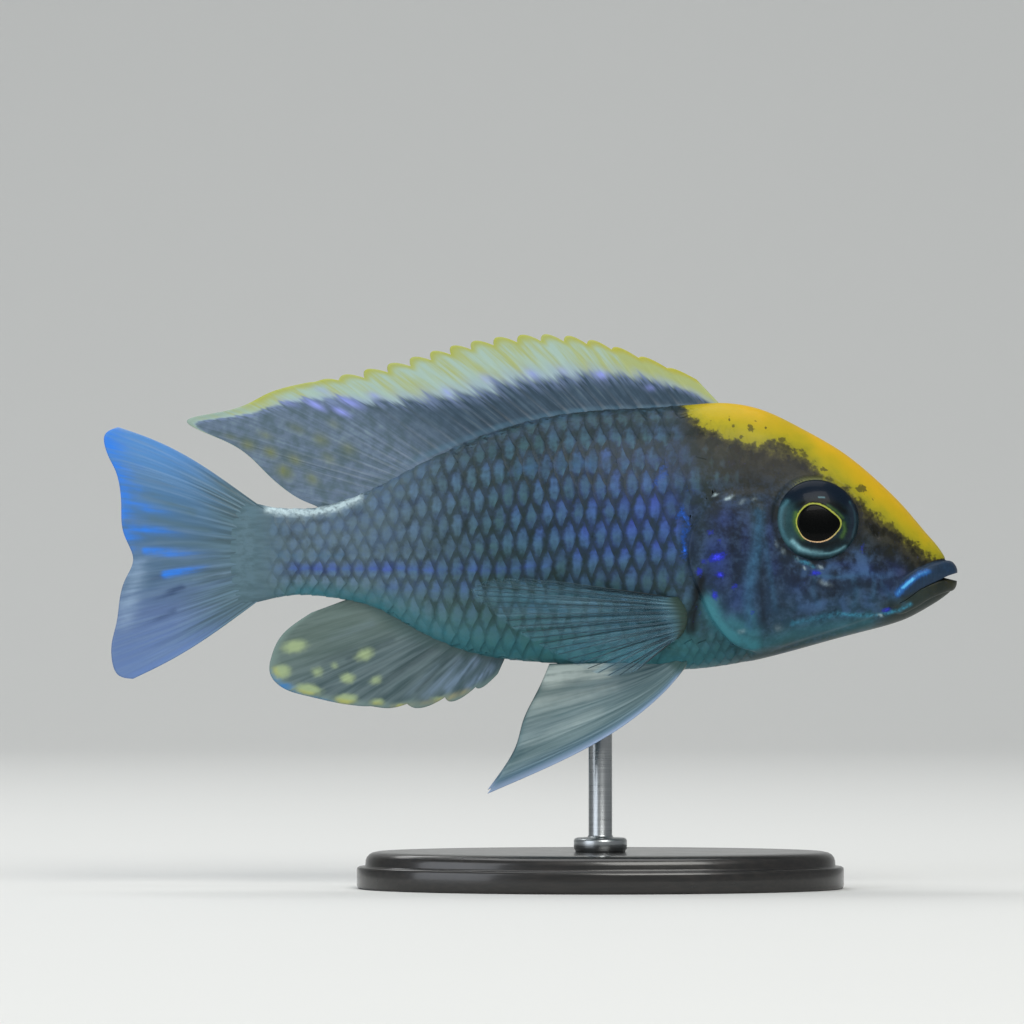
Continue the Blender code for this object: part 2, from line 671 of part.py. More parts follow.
def build_pectoral_fins():
    """The pectoral fins: each rises from the flank behind the gill cover and turns back along it."""
    root_height, tip_behind, tip_height = columns(PECTORAL_KEYS)
    for name, facing in SIDES.items():

        def root(n, f=facing):
            side = flank_side(PECTORAL_ROOT, root_height(n)) + GAP
            return points_of(PECTORAL_ROOT, side * f, root_height(n))

        def tip(n, f=facing):
            return points_of(tip_behind(n), (root(n, f)[:, 1] * f + PECTORAL_FLARE) * f, tip_height(n))

        def shape(numbers, roots, tips, along, f=facing):
            back = along**2 / (along + PECTORAL_TURN) * (1 + PECTORAL_TURN)
            lift = PECTORAL_RISE * f * (1 - np.exp(-along / PECTORAL_EASE))
            return roots + (tips - roots) * back + lift * np.array([0.0, 1.0, 0.0])

        fin(f"pectoral_fin_{name}", "pectoral", root, tip, PECTORAL_RAYS, 0, PECTORAL_ROWS, shape)


def build_stand():
    """The oval base with its moulded edge, and the turned rod up to the belly with its collar."""
    turn = np.arange(BASE_AROUND) * 2 * np.pi / BASE_AROUND
    rings = [
        points_of(
            STAND_BEHIND - (BASE_HALF_LENGTH - inset) * np.cos(turn),
            (BASE_HALF_WIDTH - inset) * np.sin(turn),
            BASE_THICK * share - AXIS_HEIGHT,
        )
        for inset, share in BASE_EDGE
    ]
    loft("stand_base", np.stack(rings), "lacquered_wood")

    foot = BASE_THICK + GAP
    head = AXIS_HEIGHT + float(BELLY(math.sqrt(STAND_BEHIND))) - GAP
    profile = [
        (0.0, head),
        (ROD_RADIUS, head),
        (ROD_RADIUS, foot + COLLAR_HEIGHT),
        (COLLAR_RADIUS - COLLAR_EDGE, foot + COLLAR_HEIGHT),
        (COLLAR_RADIUS, foot + COLLAR_HEIGHT - COLLAR_EDGE),
        (COLLAR_RADIUS, foot),
        (0.0, foot),
    ]
    edges = [(i, i + 1) for i in range(len(profile) - 1)]
    line = bpy.data.meshes.new("stand_rod")
    line.from_pydata([(r * MM, 0.0, z * MM) for r, z in profile], edges, [])
    line.materials.append(material("brushed_steel"))
    rod = bpy.data.objects.new("stand_rod", line)
    FISH.objects.link(rod)
    rod.location = ((TOTAL_LENGTH / 2 - STAND_BEHIND) * MM, 0.0, 0.0)
    turned = rod.modifiers.new("turned", "SCREW")
    turned.steps = ROD_AROUND
    turned.render_steps = ROD_AROUND
    turned.use_merge_vertices = True
    turned.merge_threshold = WELD


for old in list(bpy.data.objects):
    bpy.data.objects.remove(old)
FISH = bpy.data.collections.new("peacock_cichlid")
CUTTERS = bpy.data.collections.new("cutters")
for group in (FISH, CUTTERS):
    bpy.context.scene.collection.children.link(group)
bpy.context.view_layer.update()

build_head()
build_jaw()
build_eyes()
build_trunk()
build_gill_covers()
build_median_fins()
build_pelvic_fins()
build_pectoral_fins()
build_stand()
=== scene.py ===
"""A life-size peacock cichlid on a display stand: the looks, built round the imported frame.

Lengths are in millimetres until a piece is placed. A point of the fish is (behind the snout, out to the
fish's left, above the body's axis), so the right side, which faces the camera, has a negative second value.
"""

import logging
import math
from dataclasses import dataclass, field
from enum import Enum
from typing import Any, Optional

import bpy
import numpy as np
from bpy.types import Material, Node, NodeSocket, Object
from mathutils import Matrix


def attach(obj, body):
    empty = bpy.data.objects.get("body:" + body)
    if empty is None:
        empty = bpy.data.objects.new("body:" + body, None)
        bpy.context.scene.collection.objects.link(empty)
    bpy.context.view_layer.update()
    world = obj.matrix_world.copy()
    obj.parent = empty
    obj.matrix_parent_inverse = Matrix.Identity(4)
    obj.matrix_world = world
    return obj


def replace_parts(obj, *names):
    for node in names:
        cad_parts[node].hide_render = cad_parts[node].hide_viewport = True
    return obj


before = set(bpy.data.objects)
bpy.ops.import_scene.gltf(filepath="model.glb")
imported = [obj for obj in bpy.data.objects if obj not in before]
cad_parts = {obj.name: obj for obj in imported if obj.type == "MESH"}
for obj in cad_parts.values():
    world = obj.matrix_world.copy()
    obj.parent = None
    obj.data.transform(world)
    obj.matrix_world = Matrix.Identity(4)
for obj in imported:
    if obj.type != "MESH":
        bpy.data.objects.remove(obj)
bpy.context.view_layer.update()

LOG = logging.getLogger("cichlid")
Array = np.ndarray
Table = tuple[tuple[float, ...], ...]

MM = 0.001
HALF_LENGTH = 57.5
AXIS_HEIGHT = 45.6
SIDES = ("right", "left")
SEED = 20
TISSUE_IOR = 1.36


class Slot(Enum):
    """The record's material slots."""

    SKIN = "skin"
    FIN = "fin"
    EYE = "eye"
    WOOD = "stand_wood"
    STEEL = "stand_steel"


# ---- numbers and curves


def rise(low: float, high: float, value: Array) -> Array:
    """A smooth step, 3t² − 2t³, from 0 where the value is low to 1 where it is high; low may be the larger."""
    share = np.clip((value - low) / (high - low), 0, 1)
    return share * share * (3 - 2 * share)


def hump(centre: float, width: float, value: Array) -> Array:
    """A bell, exp(−((value − centre) / width)²)."""
    return np.exp(-(((value - centre) / width) ** 2))


class Curve:
    """A natural cubic spline through the rows of a table, read over the table's first column."""

    def __init__(self, table: Table) -> None:
        """Solves the spline's bends from the rows."""
        rows = np.array(table, float)
        self.keys, self.values = rows[:, 0], rows[:, 1:]
        steps = np.diff(self.keys)
        slopes = np.diff(self.values, axis=0) / steps[:, None]
        system, right = np.eye(len(rows)), np.zeros_like(self.values)
        inner = np.arange(1, len(rows) - 1)
        system[inner, inner - 1] = steps[:-1]
        system[inner, inner] = 2 * (steps[:-1] + steps[1:])
        system[inner, inner + 1] = steps[1:]
        right[inner] = 6 * np.diff(slopes, axis=0)
        self.bends = np.linalg.solve(system, right)

    def __call__(self, at: Any) -> Array:
        """The later columns at those keys, held at the table's ends.

        Args:
            at: The keys, of any shape.

        Returns:
            An array with one more axis for the columns, dropped where the table has only one.
        """
        at = np.clip(np.asarray(at, float), self.keys[0], self.keys[-1])
        i = np.clip(np.searchsorted(self.keys, at) - 1, 0, len(self.keys) - 2)
        step = (self.keys[i + 1] - self.keys[i])[..., None]
        after = (at - self.keys[i])[..., None] / step
        before = 1 - after
        bend = (before**3 - before) * self.bends[i] + (after**3 - after) * self.bends[i + 1]
        found = before * self.values[i] + after * self.values[i + 1] + bend * step**2 / 6
        return found[..., 0] if found.shape[-1] == 1 else found


def unit(vectors: Array) -> Array:
    """The vectors at length 1."""
    return vectors / np.maximum(np.linalg.norm(vectors, axis=-1, keepdims=True), 1e-12)


def stack(*parts: Any) -> Array:
    """Points or faces from columns of numbers, each of which may be one number for all."""
    return np.stack(np.broadcast_arrays(*parts), axis=-1)


def spokes(count: int) -> Array:
    """Even angles round a circle."""
    return np.arange(count) * 2 * math.pi / count


def blobs(table: Table, behind: Array, height: Array) -> Array:
    """Soft oval marks seen from the side, the strongest at each point.

    Args:
        table: Rows of behind, height, half length, half height, tilt in degrees and strength.
        behind: Distances behind the snout.
        height: Heights above the axis.

    Returns:
        Each mark's strength times a bell of its oval distance; the largest of them.
    """
    total = np.zeros(np.broadcast(behind, height).shape)
    for x, z, long, short, tilt, strength in table:
        turn = math.radians(tilt)
        across, up = behind - x, height - z
        along = across * math.cos(turn) + up * math.sin(turn)
        over = up * math.cos(turn) - across * math.sin(turn)
        total = np.maximum(total, strength * np.exp(-((along / long) ** 2) - (over / short) ** 2))
    return total


def strokes(lines: Table, behind: Array, height: Array) -> Array:
    """Soft lines seen from the side, the strongest at each point.

    Args:
        lines: Rows of half width, strength, the share of it that is gone at the end, and the line's points.
        behind: Distances behind the snout.
        height: Heights above the axis.

    Returns:
        Each line's strength times a bell of the distance to its nearest segment.
    """
    total = np.zeros(np.broadcast(behind, height).shape)
    for width, strength, fade, *line in lines:
        near, run = np.full(total.shape, np.inf), np.zeros(total.shape)
        points = list(zip(line[::2], line[1::2]))
        for part, ((x0, z0), (x1, z1)) in enumerate(zip(points[:-1], points[1:])):
            dx, dz = x1 - x0, z1 - z0
            share = np.clip(((behind - x0) * dx + (height - z0) * dz) / (dx * dx + dz * dz), 0, 1)
            gap = np.hypot(behind - x0 - share * dx, height - z0 - share * dz)
            run = np.where(gap < near, (part + share) / (len(points) - 1), run)
            near = np.minimum(near, gap)
        left = 1 - fade * rise(0.2, 1, run)
        total = np.maximum(total, strength * left * np.exp(-((near / width) ** 2)))
    return total


# ---- meshes


def link(name: str, data: Any) -> Object:
    """A new object in the scene, at the origin."""
    made = bpy.data.objects.new(name, data)
    bpy.context.scene.collection.objects.link(made)
    return made


@dataclass
class Shape:
    """A mesh in the making: points in millimetres, faces as point numbers, and numbers for each point."""

    points: Array
    faces: list[Array]
    marks: dict[str, Array] = field(default_factory=dict)
    maps: dict[str, Array] = field(default_factory=dict)

    def sided(self, side: str) -> "Shape":
        """The shape itself, or for the left side its mirror image.

        Args:
            side: "right", "left", or "" for a piece in the middle plane.

        Returns:
            The shape; a mirrored one's faces are turned round, and its maps are turned over.
        """
        if side != "left":
            return self
        maps = {key: np.array([0, 1]) + values * (1, -1) for key, values in self.maps.items()}
        return Shape(self.points * (1, -1, 1), [part[:, ::-1] for part in self.faces], self.marks, maps)

    def add_to_blender(self, name: str, paint: Material, slot: Slot) -> Object:
        """Makes the piece's object, which rides on the one body.

        Args:
            name: The piece's name.
            paint: Its material.
            slot: The record's slot for it; not used.

        Returns:
            The new object, at the origin, with its place in its mesh.
        """
        mesh = bpy.data.meshes.new(name)
        corners = np.concatenate([part.ravel() for part in self.faces]).astype(np.int32)
        sizes = np.concatenate([np.full(len(part), part.shape[1]) for part in self.faces])
        behind, side, height = self.points.T
        placed = stack(HALF_LENGTH - behind, side, AXIS_HEIGHT + height) * MM
        mesh.vertices.add(len(placed))
        mesh.vertices.foreach_set("co", placed.astype(np.float32).ravel())
        mesh.loops.add(len(corners))
        mesh.loops.foreach_set("vertex_index", corners)
        mesh.polygons.add(len(sizes))
        mesh.polygons.foreach_set("loop_start", (np.cumsum(sizes) - sizes).astype(np.int32))
        mesh.polygons.foreach_set("use_smooth", np.ones(len(sizes), bool))
        mesh.update(calc_edges=True)
        for key, values in self.marks.items():
            layer = mesh.attributes.new(key, "FLOAT", "POINT")
            layer.data.foreach_set("value", values.astype(np.float32).ravel())
        for key, values in self.maps.items():
            layer = mesh.uv_layers.new(name=key)
            layer.data.foreach_set("uv", values[corners].astype(np.float32).ravel())
        mesh.validate()
        mesh.materials.append(paint)
        made = link(name, mesh)
        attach(made, "root")
        LOG.info("%s: %d faces", name, len(mesh.polygons))
        return made


def grid(rows: int, columns: int, closed: bool = False, start: int = 0) -> Array:
    """The four-cornered faces of a grid of points numbered row by row.

    Args:
        rows: How many rows of points there are.
        columns: How many points each row has.
        closed: Whether the last column joins the first.
        start: The first point's number.

    Returns:
        An array of faces by 4, each going along its row first.
    """
    column = np.arange(columns if closed else columns - 1)
    after = (column + 1) % columns
    here = np.arange(rows - 1)[:, None] * columns + start
    there = here + columns
    return stack(here + column, here + after, there + after, there + column).reshape(-1, 4)


def slab(front: Array, back: Array) -> tuple[Array, list[Array]]:
    """A closed sheet from two grids of points whose edges are joined by a band.

    Args:
        front: The first face's points, rows by columns by 3.
        back: The second face's, in the same shape.

    Returns:
        The points, and the faces with the front's normals along rows × columns.
    """
    rows, columns = front.shape[:2]
    number = np.arange(rows * columns).reshape(rows, columns)
    rim = np.concatenate([number[0, :-1], number[:-1, -1], number[-1, :0:-1], number[:0:-1, 0]])
    ahead = np.roll(rim, -1)
    band = stack(ahead, rim, rim + number.size, ahead + number.size)
    faces = [grid(rows, columns), grid(rows, columns, start=number.size)[:, ::-1], band]
    return np.concatenate([front.reshape(-1, 3), back.reshape(-1, 3)]), faces


def lathe(rings: Array, ends: Optional[Array] = None) -> tuple[Array, list[Array]]:
    """A closed body from rings of points, its ends closed by fans round two points.

    Args:
        rings: The points, rings by spokes by 3.
        ends: The two points; where they aren't given, the end rings' middles.

    Returns:
        The points, the two last, and the faces.
    """
    rows, columns = rings.shape[:2]
    if ends is None:
        ends = np.stack([rings[0].mean(axis=0), rings[-1].mean(axis=0)])
    here = np.arange(columns)
    after = (here + 1) % columns
    count, last = rows * columns, (rows - 1) * columns
    fans = [stack(count, after, here), stack(count + 1, last + here, last + after)]
    return np.concatenate([rings.reshape(-1, 3), ends]), [grid(rows, columns, closed=True), *fans]


# ---- node work


def linear(colour: str) -> tuple[float, float, float, float]:
    """An sRGB hex colour as linear numbers: v/12.92 up to 0.04045, else ((v + 0.055)/1.055)^2.4."""
    channels = [int(colour[i : i + 2], 16) / 255 for i in (1, 3, 5)]
    return (*[v / 12.92 if v <= 0.04045 else ((v + 0.055) / 1.055) ** 2.4 for v in channels], 1)


class Value:
    """A number or colour that a node gives out, times a weight. Sums and products add the nodes they need."""

    def __init__(self, finish: "Finish", socket: NodeSocket, weight: float = 1) -> None:
        """Takes the finish that it is part of, the output and its weight."""
        self.finish, self.socket, self.weight = finish, socket, weight

    def wired(self) -> NodeSocket:
        """The output, with the weight multiplied in where it isn't 1."""
        if self.weight == 1:
            return self.socket
        return self.finish.add("Math", {0: self.socket, 1: self.weight}, operation="MULTIPLY").socket

    def __mul__(self, other: Any) -> "Value":
        """The product with another value, or with a plain number, which goes into the weight."""
        if not isinstance(other, Value):
            return Value(self.finish, self.socket, self.weight * other)
        made = self.finish.add("Math", {0: self.socket, 1: other.socket}, operation="MULTIPLY")
        return made * (self.weight * other.weight)

    def __add__(self, other: Any) -> "Value":
        """The sum with another value or a plain number."""
        first, second = (other, self) if isinstance(other, Value) else (self, other)
        feeds = {0: first.socket, 1: first.weight, 2: second}
        return self.finish.add("Math", feeds, operation="MULTIPLY_ADD")

    def __sub__(self, other: Any) -> "Value":
        """The difference from another value or a plain number."""
        return self + other * -1

    def step(self, low: float, high: float) -> "Value":
        """A smooth step from 0 where the value is low to 1 where it is high; low may be the larger."""
        ends = (high, low, 1, 0) if low > high else (low, high, 0, 1)
        feeds = {"Value": self, **dict(enumerate(ends, start=1))}
        return self.finish.add("MapRange", feeds, interpolation_type="SMOOTHSTEP")


class Finish:
    """A material in the making, whose steps give out values, so that they chain."""

    def __init__(self, name: str) -> None:
        """Starts the material with its Principled shader."""
        self.material = bpy.data.materials.new(name)
        self.material.use_nodes = True
        self.tree = self.material.node_tree

    def add(self, kind: str, feeds: dict, out: Any = 0, **settings: Any) -> Value:
        """Adds a node, sets it up and links what feeds it.

        Args:
            kind: The node's type without its "ShaderNode".
            feeds: What feeds its sockets, by their name or number.
            out: The name or number of the output that is wanted.
            settings: The node's own settings. stops, for a ramp, are places with hex colours.

        Returns:
            The output.
        """
        made = self.tree.nodes.new(f"ShaderNode{kind}")
        stops = settings.pop("stops", ())
        for key, value in settings.items():
            setattr(made, key, value)
        if stops:
            marks = made.color_ramp.elements
            while len(marks) < len(stops):
                marks.new(1)
            for mark, (at, tone) in zip(marks, stops):
                mark.position = at
                mark.color = linear(tone)
        self.feed(made, feeds)
        return Value(self, made.outputs[out])

    def feed(self, node: Node, feeds: dict) -> None:
        """Links values and outputs to a node's sockets, and sets plain numbers and hex colours on them."""
        for key, value in feeds.items():
            value = value.wired() if isinstance(value, Value) else value
            if isinstance(value, NodeSocket):
                self.tree.links.new(value, node.inputs[key])
            else:
                node.inputs[key].default_value = linear(value) if isinstance(value, str) else value

    def mark(self, name: str) -> Value:
        """The value of a mark that the mesh carries at each point."""
        return self.add("Attribute", {}, "Fac", attribute_name=name)

    def noise(self, size: float, detail: float = 2, stretch: tuple = (1, 1, 1)) -> Value:
        """Noise of about 0.5 in the object's own coordinates.

        Args:
            size: The size of its patches in millimetres.
            detail: Its octaves.
            stretch: How much longer its patches are along x, y and z.

        Returns:
            The noise's value.
        """
        scale = tuple(1 / (size * MM * part) for part in stretch)
        mapped = self.add("Mapping", {"Vector": self.add("TexCoord", {}, "Object"), "Scale": scale})
        return self.add("TexNoise", {"Vector": mapped, "Scale": 1, "Detail": detail}, "Fac")

    def over(self, under: Any, *layers: tuple) -> Value:
        """A colour under layers of others, each given by its share and its colour."""
        for share, colour in layers:
            under = self.add("Mix", {0: share, 6: under, 7: colour}, 2, data_type="RGBA")
        return under

    def dress(self, feeds: dict, height: Any = None, depth: float = 0, strength: float = 1) -> Material:
        """Feeds the shader.

        Args:
            feeds: What feeds its sockets.
            height: A value from 0 to 1 for its relief, if it has one.
            depth: The millimetres that the relief stands for.
            strength: How much of it shows.

        Returns:
            The material.
        """
        if height is not None:
            relief = {"Height": height, "Distance": depth * MM, "Strength": strength}
            feeds = {**feeds, "Normal": self.add("Bump", relief)}
        self.feed(self.tree.nodes["Principled BSDF"], feeds)
        return self.material


# ---- the body's form


class Body:
    """The form of head, trunk and tail stalk: an egg-shaped section at each distance behind the snout."""

    # Behind the snout, back, belly, widest height, half width.
    STATIONS = (
        (0, -3.4, -3.4, -3.4, 0), (0.34, -2.1, -5.1, -3.4, 1.4), (1, -1.1, -5.8, -3.4, 2.1),
        (2.1, 0.6, -6.6, -3.5, 2.8), (3.9, 2.7, -7.7, -3.6, 3.6), (6.6, 5.9, -9.1, -3.7, 4.5),
        (10, 9.3, -10.2, -3.5, 5.3), (15.4, 13.7, -11.6, -3, 6.3), (20.8, 16.8, -13.1, -2.5, 7.1),
        (26.2, 19.3, -14.5, -1.7, 7.7), (32, 20.2, -15.6, -1, 8), (40.2, 19.7, -16.1, -0.2, 8),
        (48.2, 19.3, -15.6, 0.5, 7.7), (56, 18.2, -15, 0.9, 7), (64.1, 15.8, -14, 1, 6),
        (72.3, 12.1, -10.9, 0.8, 4.8), (79, 8.6, -7.4, 0.5, 3.7), (84.5, 6.5, -6.2, 0.2, 2.9),
        (89.2, 5.9, -5.9, 0, 2.2), (93.3, 6.3, -6.6, 0, 1.6), (96, 6.9, -7.1, 0, 0.95), (98.6, 7.2, -7.3, 0, 0.15),
    )
    END = 98.6
    BACK_ROUND, NAPE_ROUND, BELLY_ROUND = 1.75, 2.1, 2.1
    NAPE = (14, 44)
    TINY = 0.004

    def __init__(self) -> None:
        """Reads the stations over the square root of the distance, so that the snout comes out round."""
        self.curve = Curve(tuple((math.sqrt(row[0]), *row[1:]) for row in self.STATIONS))

    def section(self, behind: Array) -> tuple[Array, ...]:
        """Back, belly, widest height, half width and upper roundness at those distances."""
        back, belly, widest, half = np.moveaxis(self.curve(np.sqrt(np.maximum(behind, 0))), -1, 0)
        share = np.clip((behind - self.NAPE[0]) / (self.NAPE[1] - self.NAPE[0]), 0, 1)
        return back, belly, widest, half, self.NAPE_ROUND + (self.BACK_ROUND - self.NAPE_ROUND) * share

    def point(self, behind: Array, angle: Array) -> Array:
        """Points of the surface.

        The height is the widest height plus cos(angle) times the reach to the back or the belly; the side is
        the half width times (1 − |cos|^n)^(1/n), with n the section's roundness.

        Args:
            behind: Distances behind the snout.
            angle: Angles from the back, 0, over the right side to the belly, π; outside these, the left side.

        Returns:
            The points, with the arguments' shape and an axis of 3.
        """
        back, belly, widest, half, upper = self.section(behind)
        lean = np.cos(angle)
        above = lean > 0
        power = np.where(above, upper, self.BELLY_ROUND)
        out = half * np.clip(1 - np.abs(lean) ** power, 0, 1) ** (1 / power)
        height = widest + lean * np.where(above, back - widest, widest - belly)
        return stack(behind, -out * np.sign(np.sin(angle)), height)

    def outward(self, behind: Array, angle: Array) -> Array:
        """Unit vectors out of the surface, from its slopes along the body and round it."""
        root = np.sqrt(np.maximum(behind, self.TINY))
        along = self.point((root + 0.02) ** 2, angle) - self.point(np.maximum(root - 0.02, 0) ** 2, angle)
        round_it = self.point(root**2, angle + 0.01) - self.point(root**2, angle - 0.01)
        return unit(np.cross(round_it, along))

    def angle_at(self, behind: Array, height: Array) -> Array:
        """The angle on the right side at which the surface has that height."""
        back, belly, widest, _, _ = self.section(behind)
        lean = (height - widest) / np.where(height > widest, back - widest, widest - belly)
        return np.arccos(np.clip(lean, -1, 1))

    def side_at(self, behind: Array, height: Array) -> Array:
        """How far out the surface is at that height."""
        return np.abs(self.point(behind, self.angle_at(behind, height))[..., 1])


BODY = Body()


class Markings:
    """Where the fish's marks lie, seen from the side. Skin and scales read them from here alike.

    A blob's row is behind, height, half length, half height, tilt and strength. A line's row is half width,
    strength, the share of it that is gone at the end, and its points, behind and height in turn.
    """

    # The yellow crest's lower border: behind the snout, height.
    CREST = Curve((
        (0, -1), (1.6, -0.9), (2.95, -0.6), (5, 0.42), (7.5, 2.5), (10.5, 4.8), (12.8, 6.8), (14.4, 8.2), (16.5, 9.6),
        (18.3, 10.7), (19.7, 12.3), (22.9, 14.1), (25.8, 14.6), (29, 14.9), (31.4, 16), (34.3, 17.3), (35.4, 18.5),
        (36.6, 19.9), (38.2, 21.6), (41, 25),
    ))
    GLOW = (
        (32.3, -0.7, 1.15, 0.5, -18, 1), (31.9, -3, 0.55, 0.4, 0, 0.9), (34.7, -2.6, 0.45, 0.55, 0, 0.7),
        (33.1, 2.6, 0.6, 0.3, 0, 0.6), (34.1, -1.2, 0.45, 0.3, 0, 0.6), (32.6, -5.7, 0.45, 0.6, 0, 0.75),
        (30, -4.6, 0.65, 0.28, -30, 0.6), (37, 5.2, 0.5, 0.8, 0, 0.75), (36.4, 3.4, 0.4, 0.7, 0, 0.9),
        (36.6, 0.2, 0.3, 0.9, 0, 0.9), (36.9, 2, 0.3, 2.4, 4, 0.5), (34.8, -7.8, 0.3, 0.6, 0, 0.5),
        (39.5, 11, 0.45, 0.65, 0, 0.8), (35.8, 9, 0.5, 0.35, 30, 0.6), (19, -2.8, 0.7, 0.38, 0, 0.75),
        (9.3, -7.9, 0.75, 0.4, -10, 0.7), (12.6, 0.4, 0.4, 0.45, 0, 0.45), (27.6, -8, 0.4, 0.25, -40, 0.4),
        (38.6, 9, 0.4, 0.3, 0, 0.5), (40.5, 9.3, 0.5, 0.3, 0, 0.5), (32, 1.4, 0.4, 0.25, 0, 0.5),
    )
    # Painted highlights: whitish glints on the gill cover, the cheek under the eye and the jaw.
    PAINTED_GLINTS = (
        (30.7, 7.3, 0.5, 0.2, -20, 0.9), (32.5, 7.7, 0.28, 0.14, 0, 0.8), (28.9, 6.8, 0.4, 0.2, -20, 0.3),
        (18.3, -1.95, 0.3, 0.12, 0, 0.9), (20.5, -2.2, 0.2, 0.16, 0, 0.5), (24.3, 1.1, 0.2, 0.3, 0, 0.3),
        (23.4, 0.1, 0.25, 0.25, 0, 0.3), (10.1, -8.6, 0.3, 0.14, 25, 0.8), (17.7, -4.2, 0.7, 0.3, 20, 0.3),
        (24, -10.2, 0.6, 0.5, 20, 0.12), (27.2, 7.2, 0.3, 0.2, 0, 0.3), (43.6, 9.9, 0.3, 0.25, 0, 0.4),
        (21.5, -1, 0.2, 0.14, 0, 0.7), (19.6, -1.7, 0.16, 0.12, 0, 0.6), (29, -10.5, 0.5, 0.25, -20, 0.25),
    )
    # Dark flakes of pigment within the crest.
    CHIPS = (
        (12.7, 8.5, 0.72, 0.55, 10, 1), (23.4, 15.1, 0.5, 0.4, 0, 0.95), (27.6, 16.7, 0.6, 0.5, 30, 0.75),
        (29.9, 17.1, 0.3, 0.25, 0, 0.8), (30.5, 18, 0.18, 0.35, 0, 0.7), (25.6, 16.7, 0.2, 0.2, 0, 0.8),
        (11.2, 7.2, 0.32, 0.25, 0, 0.6), (29, 15.6, 0.5, 0.25, 10, 0.8), (8.8, 3.5, 0.7, 0.5, 20, 0.9),
        (17.8, 11.1, 0.45, 0.3, 0, 0.9), (5, 1.4, 0.35, 0.22, 0, 0.6), (20.4, 13.1, 0.5, 0.3, 20, 0.6),
        (32.8, 17.6, 0.3, 0.3, 0, 0.6), (15, 12, 0.16, 0.12, 0, 0.6), (26.9, 17.7, 0.16, 0.2, 0, 0.6),
    )
    # Dark blobs: painted shade in the cheek's sunk pits (the first nine) and along the gill cover's edge, and darker
    # patches on head and nape.
    DARK = (
        (10.2, 0.3, 0.75, 0.75, 0, 0.8), (9.3, -1.9, 1.1, 0.55, 0, 0.5), (12.1, -4.6, 0.8, 1.1, 0, 0.55),
        (10, -4.5, 0.7, 0.85, 0, 0.6), (11.9, -6.6, 0.9, 0.4, 0, 0.5), (21.7, -4.1, 1.1, 0.9, 0, 0.5),
        (17.6, -5.8, 1.3, 0.8, 0, 0.55), (17, -3, 0.9, 0.4, 0, 0.5), (14.9, -4.2, 0.7, 1, 0, 0.5),
        (24, -6.5, 0.9, 1.2, 0, 0.35), (20.3, -8.2, 1.2, 0.8, 0, 0.35), (31, -0.5, 1, 0.5, 0, 0.5),
        (29.5, 2, 0.8, 1.4, 0, 0.45), (36.6, 13, 2.4, 2.4, 0, 0.3), (27.5, 9.9, 3.4, 2.2, 0, 0.55),
        (22, 11.6, 2.6, 1.2, -35, 0.5), (13.2, 3.4, 1.4, 1, -30, 0.3), (35.4, 1.2, 0.8, 4, 4, 0.6),
        (33.6, 4.6, 1, 1.4, 30, 0.4), (34, -4, 1.2, 1, -50, 0.45),
    )
    SHEEN = (
        (32.4, -1.2, 1.8, 3.6, 0, 0.9), (31.4, 4.4, 2.2, 1.8, -20, 0.6), (29.4, -6, 1.5, 2.4, 25, 0.5),
        (28.6, 2.5, 0.8, 3, 0, 0.35), (21.5, -4.5, 1.4, 1.2, 0, 0.3), (12, -2.6, 3, 1, 12, 0.5),
        (7.8, -2.4, 2, 1, 30, 0.6), (9.4, -4.8, 1.2, 1, 30, 0.5), (15.5, -1.6, 3, 0.5, 6, 0.35),
        (25.2, 3, 0.7, 3.5, 0, 0.35), (24.5, -2, 0.8, 1.5, 0, 0.3), (36.7, 2.2, 0.8, 4.4, 3, 0.7),
        (37.5, 8.8, 2.6, 0.8, 0, 0.5), (30.4, 11.8, 1, 0.7, 0, 0.25),
    )
    RIDGES = (
        (0.75, 0.85, 0, 26.6, 5.4, 26.8, 1, 27.6, -2.5, 28.1, -6, 27.8, -9.6),
        (0.4, 0.45, 0, 25.9, 1.4, 25.2, -3, 24.4, -7.6), (0.3, 0.4, 0, 18.6, -3.2, 15, -3.4, 12, -2.9, 9.6, -3.4),
        (0.4, 0.4, 0, 14, -3.3, 13.4, -5.2, 13.8, -7.2), (0.3, 0.35, 0, 11.1, -3.3, 11, -5.4, 11.6, -6.6),
        (0.4, 0.25, 0, 19, -3.4, 19.4, -5.2, 18.6, -7.2), (0.4, 0.3, 0, 7, -6.9, 9, -5.8, 10, -4.2),
    )
    # Creases, the first two also sunk in the relief; all are painted dark along them as shade, the third as the shadow
    # in the gill slit by the pectoral fin's base.
    FOLDS = (
        (0.36, 0.6, 0, 26.9, 5.4, 26.6, 0, 26.2, -6.5, 26, -9), (0.5, 0.45, 0, 30.2, 4.4, 30.2, 0, 29.6, -4),
        (0.85, 1.15, 0, 34.3, -3.4, 34.9, -5.2, 35.3, -7.6, 35.6, -10.3),
        (0.35, 0.55, 0, 37, 6.2, 36.9, 2, 36.3, -1, 35.2, -3.4),
    )
    LATERAL = (
        (0.13, 0.55, 0, 38.5, 9.1, 42.8, 10.9, 48.6, 11.9, 53, 12, 57.2, 11.5, 62, 10.2),
        (0.12, 0.4, 0, 69, 0, 77.8, -0.4, 92, -0.6),
    )
    # A painted highlight along the top edge of the tail stalk, and a short stroke below it.
    TAIL_GLINT = (
        (0.46, 1.2, 0, 92.8, 5.75, 90.6, 5.5, 87.5, 5.4, 84.8, 5.75, 83, 6.3, 80.6, 7.35),
        (0.25, 0.4, 0, 88.4, 5.2, 88, 4.4),
    )
    LIP_STREAK = (
        (0.42, 0.8, 0, 7.9, -5.6, 7.2, -4.8, 6, -3.75, 4.95, -3, 3.9, -2.65),
        (0.34, 1.15, 0, 7.2, -4.8, 6.6, -4.2, 5.8, -3.6),
    )
